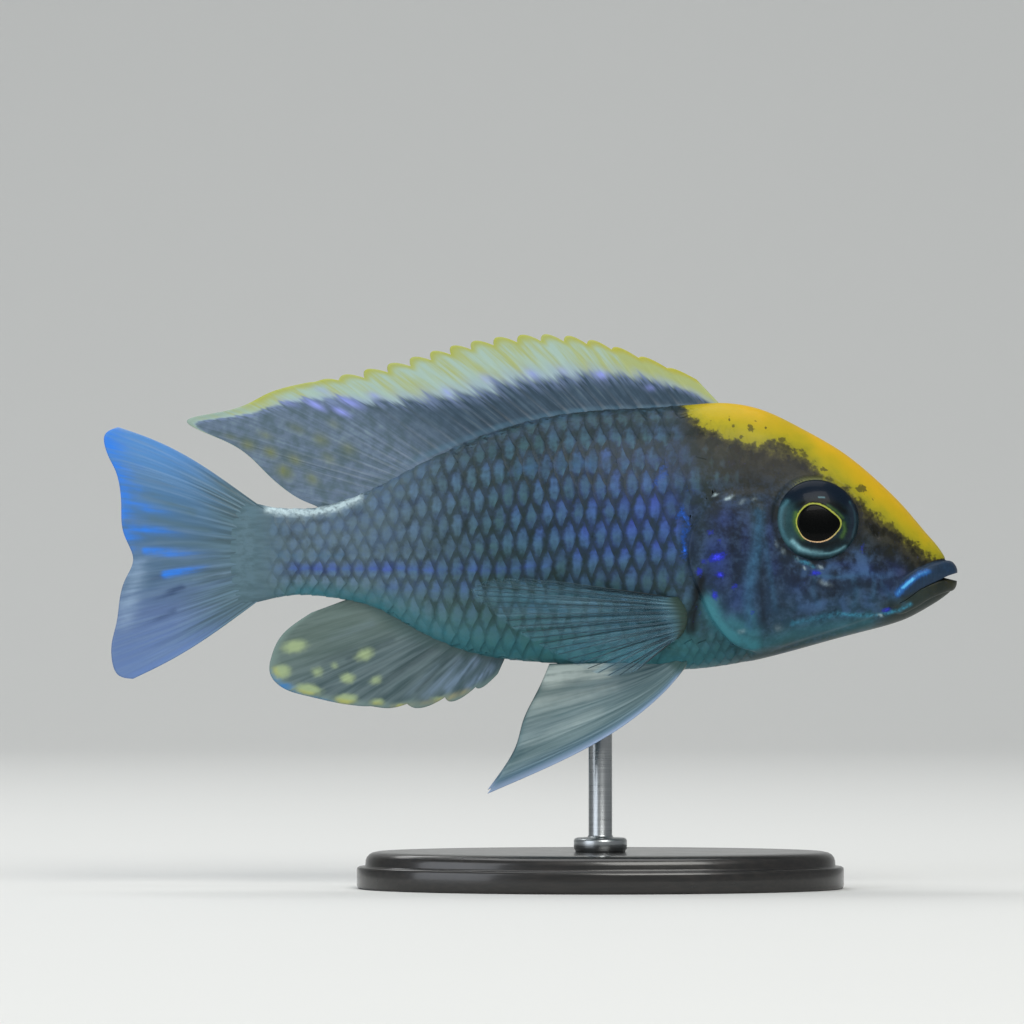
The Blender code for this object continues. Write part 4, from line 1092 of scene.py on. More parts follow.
@dataclass(frozen=True)
class Mouth:
    """The mouth's line, its lips and the gap that stays open at the front."""

    line: Curve = Curve((
        (0, -3.4), (1.3, -3.6), (2, -3.8), (3.3, -4.33), (5.1, -5.28), (6, -5.95), (7.4, -6.8),
    ))
    corner: float = 7.4
    slope: float = -0.62

    def distance(self, behind: Array, height: Array) -> tuple[Array, Array]:
        """Distances from the mouth's line, seen from the side, and where on it the nearest point is.

        Args:
            behind: Distances behind the snout.
            height: Heights above the axis.

        Returns:
            The distances, positive above the line, and the nearest points' distances behind the snout.
        """
        keys = np.linspace(0, self.corner, 60)
        line = self.line(keys)
        gaps = np.hypot(behind[..., None] - keys, height[..., None] - line)
        near = gaps.argmin(axis=-1)
        beyond = np.maximum(behind - self.corner, 0)
        middle = self.line(np.minimum(behind, self.corner)) + beyond * self.slope
        return np.where(height > middle, 1, -1) * gaps.min(axis=-1), keys[near]

    def width(self, far: Array, at: Array) -> Array:
        """How wide the lip is there, by the sign of the distance and the place along the mouth."""
        share = at / self.corner
        wide = np.where(far > 0, 2.35 + 0.2 * np.sin(np.pi * share), 1.8 - 0.1 * share)
        return wide + (1.55 - wide) * rise(0.72, 1, share)

    def relief(self, behind: Array, height: Array) -> Array:
        """The lips as half-oval rolls, the groove over the upper one, and the slit between them.

        Args:
            behind: Distances behind the snout.
            height: Heights above the axis.

        Returns:
            Millimetres above the smooth body.
        """
        far, at = self.distance(behind, height)
        share = at / self.corner
        upper = far > 0
        wide = self.width(far, at)
        proud = np.where(upper, 0.62, 0.45) * (1 - 0.45 * share)
        turn = np.clip(np.abs(far) / wide, 0, 1)
        roll = proud * np.sqrt(np.clip(1 - (2 * turn - 1) ** 2, 0, 1))
        groove = 0.2 * hump(0, 0.3, far - wide) * rise(0, 0.1, share + 0.1)
        gap = 0.42 * rise(0.34, 0, share) + 0.06
        depth = 1 + 1.05 * rise(0.3, 0, share)
        slit = depth * np.clip(1 - np.abs(far) / gap, 0, 1) ** 0.7
        fade = rise(15, 11, behind)
        return (roll - groove) * fade - slit * rise(1.06, 0.96, behind / self.corner)


@dataclass(frozen=True)
class Socket:
    """The eye's seat: its middle, how far the eyeball is sunk, and the rim of skin round it."""

    behind: float = 18.75
    height: float = 4.38
    radius: float = 5.8
    tall: float = 5.56
    depth: float = 2.3
    sink: float = 0.68
    reach: float = 4
    turn_back: float = 0.8

    def axes(self) -> tuple[Array, Array, Array, Array]:
        """The eyeball's middle on the right side, and unit vectors forward, up and out."""
        span = 2 * self.reach
        steps = np.array([self.reach, -self.reach])
        back, front = BODY.side_at(self.behind + steps, np.full(2, self.height))
        above, below = BODY.side_at(np.full(2, self.behind), self.height + steps)
        out = unit(np.array([-(back - front) / span * self.turn_back, -1, (below - above) / span]))
        forward = np.array([-1, 0, 0])
        forward = unit(forward - out * (forward @ out))
        up = np.cross(forward, out)
        up = up * np.sign(up[2])
        skin = np.array([self.behind, -float(BODY.side_at(np.array(self.behind), np.array(self.height))), self.height])
        return skin - out * self.sink, forward, up, out

    def polar(self, points: Array) -> tuple[Array, Array]:
        """Oval distances of right-side points from the eyeball's axis, and how far up they lie, −1 to 1."""
        middle, forward, up, _ = self.axes()
        away = points - middle
        x, z = away @ forward, (away @ up) * self.radius / self.tall
        far = np.hypot(x, z)
        return far, z / np.maximum(far, 0.01)

    def relief(self, points: Array) -> Array:
        """A low rim and a groove round the eye, and the hollow that holds the eyeball."""
        far, _ = self.polar(points)
        return 0.05 * hump(6.5, 0.4, far) - 0.10 * hump(5.95, 0.22, far) - 2.2 * rise(5.2, 4.3, far)


@dataclass(frozen=True)
class Bed:
    """Where the scales lie and how deep the skin is sunk under them: they thin out over nape and tail root."""

    deep: float = 0.13
    gill: GillCover = GillCover()
    nape: float = 22.5
    tail: tuple[float, float] = (95.5, 89)

    def start(self, angle: Array) -> Array:
        """How far behind the snout the scales start at those angles."""
        lean = np.cos(angle)
        over = self.nape + 7 * rise(0.72, 1, lean)
        cover = self.gill.edge(lean) - 0.2
        return cover + (over - cover) * rise(0.40, 0.50, lean)

    def depth(self, behind: Array, angle: Array) -> Array:
        """The skin's depth in millimetres."""
        lean = np.cos(angle)
        run = 1.4 + 7 * rise(0.40, 0.50, lean)
        return self.deep * rise(0, 1, (behind - self.start(angle)) / run) * rise(*self.tail, behind)

    def strength(self, behind: Array, angle: Array) -> Array:
        """How far the scales stand out, from 0 where they fade into the skin to 1."""
        run = 1 + 11 * rise(0.15, 0.40, np.cos(angle))
        return rise(-0.2, 1, (behind - self.start(angle)) / run) * rise(94.6, 89, behind)


BED = Bed()


@dataclass(frozen=True)
class Skin:
    """One skin over head, trunk and tail stalk, as rings from the mouth to the tail fin."""

    gill: GillCover = GillCover()
    mouth: Mouth = Mouth()
    socket: Socket = Socket()
    rows: int = 156
    mouth_row: float = 0.6
    crowd: float = 1.7
    # The fold under the jaw.
    under_jaw: Table = ((0.35, 1, 0, 8.3, -7.6, 11.5, -9.2, 15, -10.4, 20, -12, 25, -13.6),)

    def rings(self) -> Array:
        """The rings' distances behind the snout: crowded at the lips and the gill cover's edge."""
        snout = 7.6 * np.linspace(0, 1, 52)[1:] ** 2
        cheek = np.arange(7.9, 33, 0.3)
        edge = (np.arange(33.1, 35.9, 0.24), np.arange(36, 37, 0.08), np.arange(37.1, 40, 0.24))
        trunk = np.arange(40.3, Body.END - 0.6, 0.62)
        return np.concatenate([snout, cheek, *edge, trunk, [Body.END - 0.3, Body.END]])

    def angles(self, behind: Array) -> Array:
        """The rows' angles: even on the trunk, crowded at the mouth's line in front, (1 − t)^1.7 from it.

        Args:
            behind: The rings' distances behind the snout.

        Returns:
            The angles, rings by rows.
        """
        share = np.linspace(0, 1, self.rows + 1)[None, :]
        at = np.minimum(behind, self.mouth.corner)
        slit = BODY.angle_at(at, self.mouth.line(at))[:, None]
        row, crowd = self.mouth_row, self.crowd
        above = slit * (1 - np.clip(1 - share / row, 0, 1) ** crowd)
        below = (math.pi - slit) * np.clip((share - row) / (1 - row), 0, 1) ** crowd
        crowded = np.where(share < row, above, slit + below)
        weight = rise(14, 7.4, behind)[:, None]
        return weight * crowded + (1 - weight) * math.pi * share

    def bend(self, behind: Array, angle: Array) -> Array:
        """Bends the rings near the gill cover so that one of them runs along its edge."""
        window = rise(21, 36.4, behind) * rise(52, 36.4, behind)
        return behind + window * (self.gill.edge(np.cos(angle)) - self.gill.crown)

    def relief(self, behind: Array, angle: Array, points: Array) -> Array:
        """All that is raised on the skin or sunk in it, in millimetres.

        Args:
            behind: Distances behind the snout.
            angle: Angles from the back.
            points: The smooth body's points there.

        Returns:
            The height above the smooth body.
        """
        height = points[..., 2]
        seen = behind, height
        head = rise(40, 30, behind)
        nostril = np.hypot(behind - 10.8, height - 2.6)
        return (
            self.mouth.relief(*seen) + self.gill.relief(behind, angle) - BED.depth(behind, angle)
            + self.socket.relief(points) * (behind < 30)
            + 0.17 * strokes(Markings.RIDGES[:2], *seen) * head + 0.07 * strokes(Markings.RIDGES[2:], *seen)
            - 0.20 * strokes(Markings.FOLDS[:2], *seen) * head - 0.14 * blobs(Markings.DARK[:9], *seen)
            - 0.16 * strokes(self.under_jaw, *seen) * rise(26, 22, behind)
            + 0.16 * hump(0.72, 0.22, nostril) - 0.75 * hump(0, 0.42, nostril)
        )

    def face_marks(self, behind: Array, points: Array, lift: Array, dark: Array) -> dict[str, Array]:
        """The marks that follow the lips and the eye's rim.

        Args:
            behind: Distances behind the snout.
            points: The smooth body's points.
            lift: The relief there.
            dark: The dark mark so far.

        Returns:
            The marks lid, upper_lip and lower_lip, and dark with painted shade in the mouth's slit and the eye's
            painted shadow.
        """
        far, up = self.socket.polar(points)
        at_eye = behind < 30
        shadow = 0.8 * hump(6, 0.4, far) * rise(0.75, -0.1, up) * at_eye
        # Painted shade in the mouth's slit, where the skin is sunk deep.
        inner = rise(-0.35, -0.8, lift) * (behind < 9)
        gap, at = self.mouth.distance(behind, points[..., 2])
        lips = rise(12, 9, behind) * rise(8.6, 7.2, behind)
        wide = self.mouth.width(gap, at)
        inside = lips * rise(1.12, 0.95, np.abs(gap) / wide)
        return {
            "dark": np.maximum(dark, np.maximum(shadow, inner)),
            "lid": hump(5.76, 0.34, far) * rise(0.72, 0.97, up) * at_eye,
            "upper_lip": inside * (gap > 0),
            "lower_lip": inside * (gap <= 0),
        }

    def build(self, paint: Material) -> None:
        """The skin's piece, both sides in one and its ends closed, which replaces the nodes of flesh.

        Args:
            paint: The skin's material.
        """
        nominal = self.rings()
        angle = self.angles(nominal)
        behind = self.bend(nominal[:, None], angle)
        smooth = BODY.point(behind, angle)
        lift = self.relief(behind, angle, smooth)
        points = smooth + BODY.outward(behind, angle) * lift[..., None]
        # The last rings are drawn in to the thickness of the tail fin.
        points[..., 1] *= 1 - 0.65 * rise(95, 97.6, behind)
        points[:, 0, 1] = points[:, -1, 1] = 0
        body, faces = lathe(np.concatenate([points, points[:, -2:0:-1] * (1, -1, 1)], axis=1))
        # The front end closes inside the mouth, where it is painted dark as shade.
        body[-2] = (2.1, 0, -3.75)
        marks = MARKINGS.read(behind, smooth[..., 2], angle)
        marks.update(self.face_marks(behind, smooth, lift, marks["dark"]))
        # The crest ends at the lip.
        marks["crest"] = marks["crest"] - 12 * marks["upper_lip"]
        full = {}
        for name, values in marks.items():
            ring = np.concatenate([values, values[:, -2:0:-1]], axis=1).ravel()
            full[name] = np.concatenate([ring, [ring[0], ring[-1]]])
        # The closing point inside the mouth is painted dark as shade.
        full["dark"][-2] = 1
        made = Shape(body, [part[:, ::-1] for part in faces], full).add_to_blender("skin", paint, Slot.SKIN)
        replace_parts(made, "head", "lower_jaw", "gill_cover_right", "gill_cover_left", "trunk", "tail_stalk")


# ---- the scales


@dataclass(frozen=True)
class ScaleField:
    """Scales of one kind over a part of the body.

    Rows run along the body at even steps round it, and each row is half a scale out of step with the next.
    """

    name: str
    pitch: Curve
    row_pitch: Curve
    axis: Curve
    first_row: int
    last_row: int
    span: tuple[float, float]
    lift: float = 0.15
    bulge: float = 0.6
    across: int = 8
    along: int = 5

    def shown(self, behind: Array, height: Array, angle: Array) -> Array:
        """Which scales of the lattice are there, by the places of their free edges."""
        raise NotImplementedError

    def lean(self, behind: Array, height: Array) -> Array:
        """How far the scales' bright middles lean from the rows, as a slope."""
        return 0.1 * rise(2, 14, height) + 0.4 * rise(9, 15, height) * rise(56, 38, behind)


class Girth:
    """Turns distances round the body from its axis row into angles, and back."""

    REACH = 34

    def __init__(self, axis: Curve) -> None:
        """Tabulates the distance round the body at each station, from the axis row up as positive."""
        self.behind = np.linspace(14, Body.END - 0.2, 180)
        self.angle = np.linspace(-0.6 * math.pi, 1.6 * math.pi, 900)
        points = BODY.point(self.behind[:, None], self.angle[None, :])
        steps = np.linalg.norm(np.diff(points, axis=1), axis=-1)
        length = np.concatenate([np.zeros((len(self.behind), 1)), np.cumsum(steps, axis=1)], axis=1)
        start = BODY.angle_at(self.behind, axis(self.behind))
        self.up = np.linspace(-self.REACH, self.REACH, 500)
        zero = [np.interp(at, self.angle, row) for at, row in zip(start, length)]
        self.table = np.stack([np.interp(at - self.up, row, self.angle) for at, row in zip(zero, length)])

    def angle_for(self, behind: Array, up: Array) -> Array:
        """The angle at a distance up from the axis row, read from the table in both directions.

        Args:
            behind: Distances behind the snout.
            up: Distances round the body, up from the axis row.

        Returns:
            The angles from the back.
        """
        x = np.clip((behind - self.behind[0]) / (self.behind[1] - self.behind[0]), 0, len(self.behind) - 1.001)
        y = np.clip((up + self.REACH) / (self.up[1] - self.up[0]), 0, len(self.up) - 1.001)
        i, j = x.astype(int), y.astype(int)
        fx, fy = x - i, y - j
        table = self.table
        near = table[i, j] * (1 - fy) + table[i, j + 1] * fy
        far = table[i + 1, j] * (1 - fy) + table[i + 1, j + 1] * fy
        return near * (1 - fx) + far * fx


@dataclass(frozen=True)
class FlankScales(ScaleField):
    """The large scales of flank, back and belly."""

    def shown(self, behind: Array, height: Array, angle: Array) -> Array:
        """Behind the gill cover, and on the nape behind the small scales."""
        lean = np.cos(angle)
        start = np.where(lean > 0.40, 35.2 + 3 * rise(0.4, 1, lean), BED.gill.edge(lean) + 0.9)
        start = np.maximum(start, 36 + 4 * rise(-0.55, -0.8, lean))
        return (behind > start) & (behind < self.span[1]) & (angle > -0.02) & (angle < math.pi + 0.02)


@dataclass(frozen=True)
class SmallScales(ScaleField):
    """The small scales of nape and breast."""

    def shown(self, behind: Array, height: Array, angle: Array) -> Array:
        """On the nape above the gill cover, and on the breast below it."""
        lean = np.cos(angle)
        nape = (lean > 0.40) & (behind > BED.start(angle)) & (behind < 36.6 + 3 * rise(0.4, 1, lean))
        rear = 36.9 + 5 * rise(-0.55, -0.8, lean)
        breast = (lean < -0.3) & (behind > BED.gill.edge(lean) + 0.7) & (behind < rear)
        return (nape | breast) & (angle > -0.05) & (angle < math.pi + 0.05)


class Coat:
    """The scales as joined plates over the skin: thin closed shields that overlap backwards."""

    # A scale's patch on the map for the bake.
    PATCH = 0.003

    def __init__(self, fields: tuple[ScaleField, ...]) -> None:
        """Takes the fields of scales, and a seeded source for their small differences."""
        self.fields = fields
        self.random = np.random.default_rng(SEED)

    def seats(self, kind: ScaleField, girth: Girth) -> dict[str, Array]:
        """Where a field's scales sit on the right side.

        Args:
            kind: The field.
            girth: The table round the body.

        Returns:
            For each scale the place of its free edge's middle, its row and its small differences, each in a
            shape that spreads over the scale's points.
        """
        behind = np.linspace(*kind.span, 600)
        count = np.concatenate([[0], np.cumsum(np.diff(behind) / kind.pitch(behind[:-1]))])
        rows = np.arange(kind.first_row, kind.last_row + 1)
        row, column = np.meshgrid(rows, np.arange(0, count[-1]), indexing="ij")
        at = np.interp(column + 0.5 * (row % 2), count, behind).ravel()
        up = row.ravel() * kind.row_pitch(at)
        jitter = self.random.normal(size=(3, at.size))
        at = at + 0.05 * jitter[0] * kind.pitch(at)
        up = up + 0.03 * jitter[1] * kind.row_pitch(at)
        angle = girth.angle_for(at, up)
        height = BODY.point(at, angle)[:, 2]
        keep = kind.shown(at, height, angle)
        seat = {
            "at": at, "up": up, "row": row.ravel(), "angle": angle, "height": height,
            "tone": self.random.random(at.size), "turn": 0.03 * jitter[2],
        }
        return {name: values[keep][:, None, None] for name, values in seat.items()}

    def plates(self, kind: ScaleField) -> Shape:
        """A field's plates on the right side.

        On a plate, c goes from −1 to 1 across and a from 0 at the hidden root to 1 at the free edge. The
        free edge lies at −bulge × pitch × c² along the plate, and the plate rises evenly from its root, so
        that each edge stands over the next plate.

        Args:
            kind: The field.

        Returns:
            The plates as one shape, with the marks of skin and scales and a map for the bake.
        """
        girth = Girth(kind.axis)
        seat = self.seats(kind, girth)
        at, turn = seat["at"], seat["turn"]
        a = np.linspace(0, 1, kind.along + 1)[:, None] ** 0.8
        c = np.sin(np.linspace(-0.5, 0.5, kind.across + 1) * math.pi)[None, :]
        pitch, half = kind.pitch(at), 1.04 * kind.row_pitch(at)
        reach = 2.1 * pitch
        edge = -kind.bulge * pitch * c**2
        root = -reach * (1 - 0.25 * c**2)
        x = root + (edge - root) * a
        y = half * c * (0.75 + 0.25 * a)
        behind = at + x * np.cos(turn) + y * np.sin(turn)
        angle = girth.angle_for(behind, seat["up"] + y * np.cos(turn) - x * np.sin(turn))
        smooth = BODY.point(behind, angle)
        climb = (x + reach) / reach
        strength = BED.strength(behind, angle)
        rim = kind.lift * climb + 0.01 * (1 - c**2)
        lift = rim * strength - BED.depth(behind, angle) - 0.05 * (1 - climb) - 0.03 * (1 - strength)
        top = smooth + BODY.outward(behind, angle) * lift[..., None]
        marks = MARKINGS.read(behind, smooth[..., 2], angle)
        inset = edge - x + half * c * kind.lean(at, seat["height"])
        pored = ((seat["row"] == 4) & (at < 62)) | ((seat["row"] == 1) & (at > 66))
        marks.update(
            core=np.sqrt(((inset - 0.52 * pitch) / (0.42 * pitch)) ** 2 + (c / 0.72) ** 2),
            shine=self.shine(marks, behind, smooth[..., 2], strength) * (1 - 0.7 * pored * hump(0, 0.16, c)),
            tone=seat["tone"],
            tall=c,
        )
        rows, columns = kind.along + 1, kind.across + 1
        number = np.arange(rows * columns).reshape(rows, columns)
        under = stack(number[:-1, 0], number[1:, 0], number[1:, -1], number[:-1, -1])
        starts = np.arange(len(at))[:, None, None] * number.size
        plate = (grid(rows, columns), under, number[:1], number[-1:, ::-1])
        faces = [(part + starts).reshape(-1, part.shape[1])[:, ::-1] for part in plate]
        bake = stack(
            0.02 + 0.96 * at / Body.END + self.PATCH * (a - 1),
            0.5 + 0.47 * seat["angle"] / math.pi + self.PATCH * 0.5 * c,
        )
        flat = {name: np.broadcast_to(values, x.shape).ravel() for name, values in marks.items()}
        return Shape(top.reshape(-1, 3), faces, flat, {"OFBake": bake.reshape(-1, 2)})

    def shine(self, marks: dict[str, Array], behind: Array, height: Array, strength: Array) -> Array:
        """How bright the scales' middles are.

        Args:
            marks: The marks so far.
            behind: Distances behind the snout.
            height: Heights above the axis.
            strength: How far the scales stand out.

        Returns:
            The share from 0 to 1: less on back and belly, on the nape, in the teal and towards the tail.
        """
        shine = 0.55 + 0.45 * rise(0.08, 0.3, marks["girth"]) * rise(1, 0.75, marks["girth"])
        shine = shine * (1 - 0.3 * rise(44, 34, behind) * rise(6, 12, height))
        shine = shine * (1 - 0.62 * marks["teal"]) * (0.1 + 0.9 * strength)
        shine = shine * (1 - 0.5 * marks["ashen"] * rise(-1.5, 1, height))
        shine = shine * (1 - 0.45 * marks["ashen"] * rise(-3.5, -5, height))
        return shine * (1 - 0.3 * rise(41, 36, behind))

    def build(self, paint: Material) -> None:
        """All scales, a piece for each field and side, of this material."""
        for kind in self.fields:
            right = self.plates(kind)
            for side in SIDES:
                right.sided(side).add_to_blender(f"{kind.name}_{side}", paint, Slot.SKIN)


# ---- the eyes


@dataclass(frozen=True)
class Eye:
    """An eyeball that bulges from its socket: a wet dome, painted with the iris and the pupil, and with painted
    reflections and a painted shadow on them.
    """

    socket: Socket = Socket()
    spokes: int = 160
    shells: int = 64
    # The share of the shells that lies on the pupil.
    pupil_share: float = 0.4
    # The pupil's outline: angle in degrees from the front upwards, and radius.
    pupil: Curve = Curve((
        (-23, 2.65), (-2, 2.9), (13, 2.72), (29, 2.34), (56, 2.14), (81, 2.26), (101, 2.48), (116, 2.64), (130, 2.7),
        (148, 2.76), (172, 2.86), (182, 2.86), (202, 2.76), (223, 2.72), (240, 2.62), (264, 2.46), (289, 2.41),
        (314, 2.46), (337, 2.65), (358, 2.9), (373, 2.72), (389, 2.34),
    ))
    pupil_at: tuple[float, float] = (-0.02, -0.64)
    # Colour marks as soft lines, their points forward and up from the eyeball's middle.
    lines: tuple = (
        # pale: painted reflections on the cornea, a crescent low at the rear and a thin arc along the bottom, and a
        # small painted highlight above the pupil.
        ("pale", (
            (0.27, 0.85, 0.7, -3.5, -3.1, -2.4, -4.1, -1.1, -4.5, 0.5, -4.6),
            (0.13, 0.4, 0, 0.2, -4.72, 1.6, -4.62, 2.8, -4.2, 3.7, -3.6), (0.08, 0.5, 0, 0, 2.85, 0.8, 2.85),
        )),
        ("arc", (
            (0.3, 0.8, 0, -4.2, 2.3, -4.85, 1.4, -5.1, 0.1, -5, -1.2, -4.6, -2.4, -3.8, -3.4),
            (0.3, 0.6, 0, -3.8, -3.4, -2.6, -4.3, -0.5, -4.8, 1.8, -4.7, 3.8, -3.7),
            (0.16, 0.5, 0, 4.4, 2.4, 5, 1, 5.1, -0.6, 4.7, -2.3),
        )),
        ("moss", (
            (0.34, 0.9, 0, -3.1, 0.6, -3.2, -0.5, -2.9, -1.6, -2.1, -2.6),
            (0.3, 0.6, 0, 3.4, -0.6, 3.6, -1.6, 3.2, -2.4), (0.2, 0.5, 0, 1.2, 1.75, 2.4, 1, 3.3, 0.1),
        )),
        # dusk: a painted shadow arcing over the pupil, and dark streaks under it.
        ("dusk", (
            (0.5, 0.9, 0, -3, 1.6, -1.6, 2.15, 0.8, 2.35, 2.6, 1.75, 3.7, 0.9),
            (0.45, 0.7, 0, -0.9, -3.5, 1, -3.6, 2.6, -3), (0.4, 0.5, 0, -2.4, -3.2, -1.6, -3.6),
        )),
        ("teal", ((1, 0.9, 0, -4.2, 1.2, -4.3, -0.8, -3.8, -2.6),)),
        ("slate", ((0.6, 0.8, 0, 4.6, 1.8, 4.8, -0.4, 4.3, -2.2),)),
    )

    def build(self, paint: Material) -> None:
        """Both eyeballs.

        The rings run from the pupil's middle over its outline to the eyeball's rim. The dome is an oval of
        the socket's radii and depth; the pupil's lens stands over it a little, in a groove.

        Args:
            paint: The eyes' material.
        """
        middle, forward, up, out = self.socket.axes()
        radius, tall = self.socket.radius, self.socket.tall
        turn = spokes(self.spokes)
        outline = self.pupil(np.degrees(turn)) * 1.03
        share = np.linspace(0, 1, self.shells)[1:, None]
        inner = np.minimum(share / self.pupil_share, 1)
        outer = np.clip((share - self.pupil_share) / (1 - self.pupil_share), 0, 1)
        ring = inner + outer
        x0, z0 = self.pupil_at
        x = x0 + outline * np.cos(turn) * inner
        z = z0 + outline * np.sin(turn) * inner
        x = x + (radius * np.cos(turn) - x) * outer
        z = z + (tall * np.sin(turn) - z) * outer
        dome = self.socket.depth * np.sqrt(np.clip(1 - np.hypot(x / radius, z / tall) ** 2, 0, 1))
        dome = dome - 0.06 * hump(1, 0.05, ring) + 0.04 * rise(1, 0.9, ring)
        dome = dome + 0.03 * hump(1.12, 0.07, ring) * (ring > 1)
        points = middle + x[..., None] * forward + z[..., None] * up + dome[..., None] * out
        centre = middle + x0 * forward + z0 * up + (self.socket.depth + 0.02) * out
        body, faces = lathe(points, np.stack([centre, middle - 0.6 * out]))
        marks = {"ring": ring, "high": z / tall, "navy": rise(2.2, 3.1, z + 0.06 * x**2)}
        marks.update({name: strokes(lines, x, z) for name, lines in self.lines})
        flat = {
            name: np.append(np.broadcast_to(values, x.shape), (0, 2 if name == "ring" else 0))
            for name, values in marks.items()
        }
        for side in SIDES:
            eye = Shape(body, faces, flat).sided(side).add_to_blender(f"eyeball_{side}", paint, Slot.EYE)
            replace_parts(eye, f"eye_{side}")


# ---- the fins


@dataclass(frozen=True)
class Fin:
    """A fin: a web from a row of roots in the skin to a row of tips, with raised rays on both faces."""

    name: str
    node: str
    rays: int
    spines: int
    keys: Curve
    root_thick: float
    notch: float = 0
    lines: tuple = ()
    spots: tuple = ()
    gap_steps: int = 10
    length_steps: int = 64
    web: float = 0.13
    # How far the first and the last ray are bowed up.
    bows: tuple[float, float] = (0, 0)
    bow_power: float = 1
    # The pale band's width by ray number.
    band: Curve = Curve((
        (0, 6.4), (0.7, 4.6), (1.5, 4.4), (3, 5.4), (6, 7), (9, 7.6), (12, 7.4), (14, 6.2), (16, 4.6), (18, 3.2),
        (20, 2.2), (21.6, 1), (23, 0.1), (26, 0.05),
    ))

    def ends(self, numbers: Array) -> tuple[Array, Array]:
        """The roots and tips of those rays on the right side or in the middle plane."""
        raise NotImplementedError

    def spread(self, numbers: Array, along: Array) -> Array:
        """The middle sheet's points, along by numbers by 3: rays bowed by a sine of their length to a power."""
        roots, tips = self.ends(numbers)
        bow = self.bows[0] + (self.bows[1] - self.bows[0]) * numbers / (self.rays - 1)
        bowed = stack(0, 0, bow * np.sin(math.pi * along[:, None] ** self.bow_power))
        return roots + (tips - roots) * along[:, None, None] * self.margin(numbers)[:, None] + bowed

    def margin(self, numbers: Array) -> Array:
        """Each ray's share of its full length: behind each spine the web falls back in a rounded lobe."""
        after = numbers - np.floor(numbers)
        crest = 0.52
        lobe = np.where(after < crest, ((crest - after) / crest) ** 2, ((after - crest) / (1 - crest)) ** 2)
        return 1 - self.notch * lobe * rise(self.spines + 0.5, self.spines - 2.5, numbers)

    def thickness(self, numbers: Array, along: Array, gap: Array, length: Array) -> tuple[Array, Array]:
        """Half the fin's thickness, and how near each point is to a ray.

        A ray is a ridge exp(−(distance / width)²). Spines taper to a point. Soft rays split in two at a
        third of their length and again at two thirds, and are jointed every 0.6 mm. The free edges are
        drawn to nearly nothing, so that they are rounded.

        Args:
            numbers: Ray numbers across the fin.
            along: Shares of the length.
            gap: Millimetres between two rays at each point.
            length: Each ray's length in millimetres.

        Returns:
            The half thickness in millimetres and the ridge from 0 to 1, along by numbers.
        """
        n, a = numbers[None, :], along[:, None]
        off = n - np.round(n)
        spiny = np.round(n) < self.spines
        fork = 0.17 * rise(0.3, 1, a) * ~spiny
        twig = 0.075 * rise(0.62, 1, a) * ~spiny
        wide = np.where(spiny, 0.34 * (1 - 0.62 * a), 0.22 * (1 - 0.5 * a))
        shifts = [one * fork + two * twig for one in (-1, 1) for two in (-1, 1)]
        ridge = np.max([hump(0, 1, (off - shift) * gap / wide) for shift in shifts], axis=0)
        joint = 1 - 0.18 * (0.5 + 0.5 * np.cos(2 * math.pi * a * length / 0.6)) * ~spiny * rise(0.15, 0.3, a)
        tall = np.where(spiny, 0.17 * (1 - 0.7 * a), 0.14 * (1 - 0.65 * a)) * joint
        half = self.web * (1 - 0.45 * a) + tall * ridge
        half = half + (self.root_thick / 2 - half) * np.exp(-np.maximum(a, 0) / 0.06) * (a < 0.5)
        half[-1] *= 0.25
        half[-2] *= 0.8
        half[:, [0, -1]] *= 0.35
        return half, ridge

    def shape(self) -> Shape:
        """The fin's closed mesh on the right side or in the middle, and its marks."""
        numbers = np.linspace(0, self.rays - 1, (self.rays - 1) * self.gap_steps + 1)
        along = np.linspace(0, 1, self.length_steps + 1)
        middle = self.spread(numbers, along)
        steps = np.linalg.norm(np.diff(middle, axis=0), axis=-1)
        gap = np.linalg.norm(np.gradient(middle, axis=1), axis=-1) * self.gap_steps
        half, ridge = self.thickness(numbers, along, gap, steps.sum(axis=0))
        normal = unit(np.cross(np.gradient(middle, axis=0), np.gradient(middle, axis=1)))
        out = normal * half[..., None]
        rim = np.cumsum(np.concatenate([steps, np.zeros((1, len(numbers)))])[::-1], axis=0)[::-1]
        x, z = middle[..., 0], middle[..., 2]
        marks = {"ray": numbers, "along": along[:, None], "rim": rim, "web": 1 - ridge}
        marks.update({name: strokes(lines, x, z) for name, lines in self.lines})
        marks.update({name: blobs(table, x, z) for name, table in self.spots})
        marks["band"] = rim / np.maximum(self.band(numbers), 0.1)
        points, faces = slab(middle + out, middle - out)
        flat = {name: np.tile(np.broadcast_to(values, x.shape).ravel(), 2) for name, values in marks.items()}
        return Shape(points, faces, flat)

    def build(self, paint: Material, side: str = "") -> None:
        """The fin's piece, which replaces the fin's node.

        Args:
            paint: Its material.
            side: The side of a paired fin; none is in the middle plane.
        """
        suffix = f"_{side}" if side else ""
        made = self.shape().sided(side).add_to_blender(self.name + suffix, paint, Slot.FIN)
        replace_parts(made, self.node + suffix)


@dataclass(frozen=True)
class MedianFin(Fin):
    """The dorsal or the anal fin, its roots sunk into the outline of the back or the belly."""

    below: bool = False
    sunk: float = 0.7

    def ends(self, numbers: Array) -> tuple[Array, Array]:
        """Roots under the back or above the belly's outline, and tips."""
        root, behind, height = self.keys(numbers).T
        back, belly, *_ = BODY.section(root)
        seat = belly + self.sunk if self.below else back - self.sunk
        return stack(root, 0, seat), stack(behind, 0, height)


@dataclass(frozen=True)
class TailFin(Fin):
    """The tail fin, slightly forked."""

    root: float = 92.6

    def ends(self, numbers: Array) -> tuple[Array, Array]:
        """Roots inside the stalk's end, and tips."""
        root, behind, height = self.keys(numbers).T
        return stack(self.root, 0, root), stack(behind, 0, height)


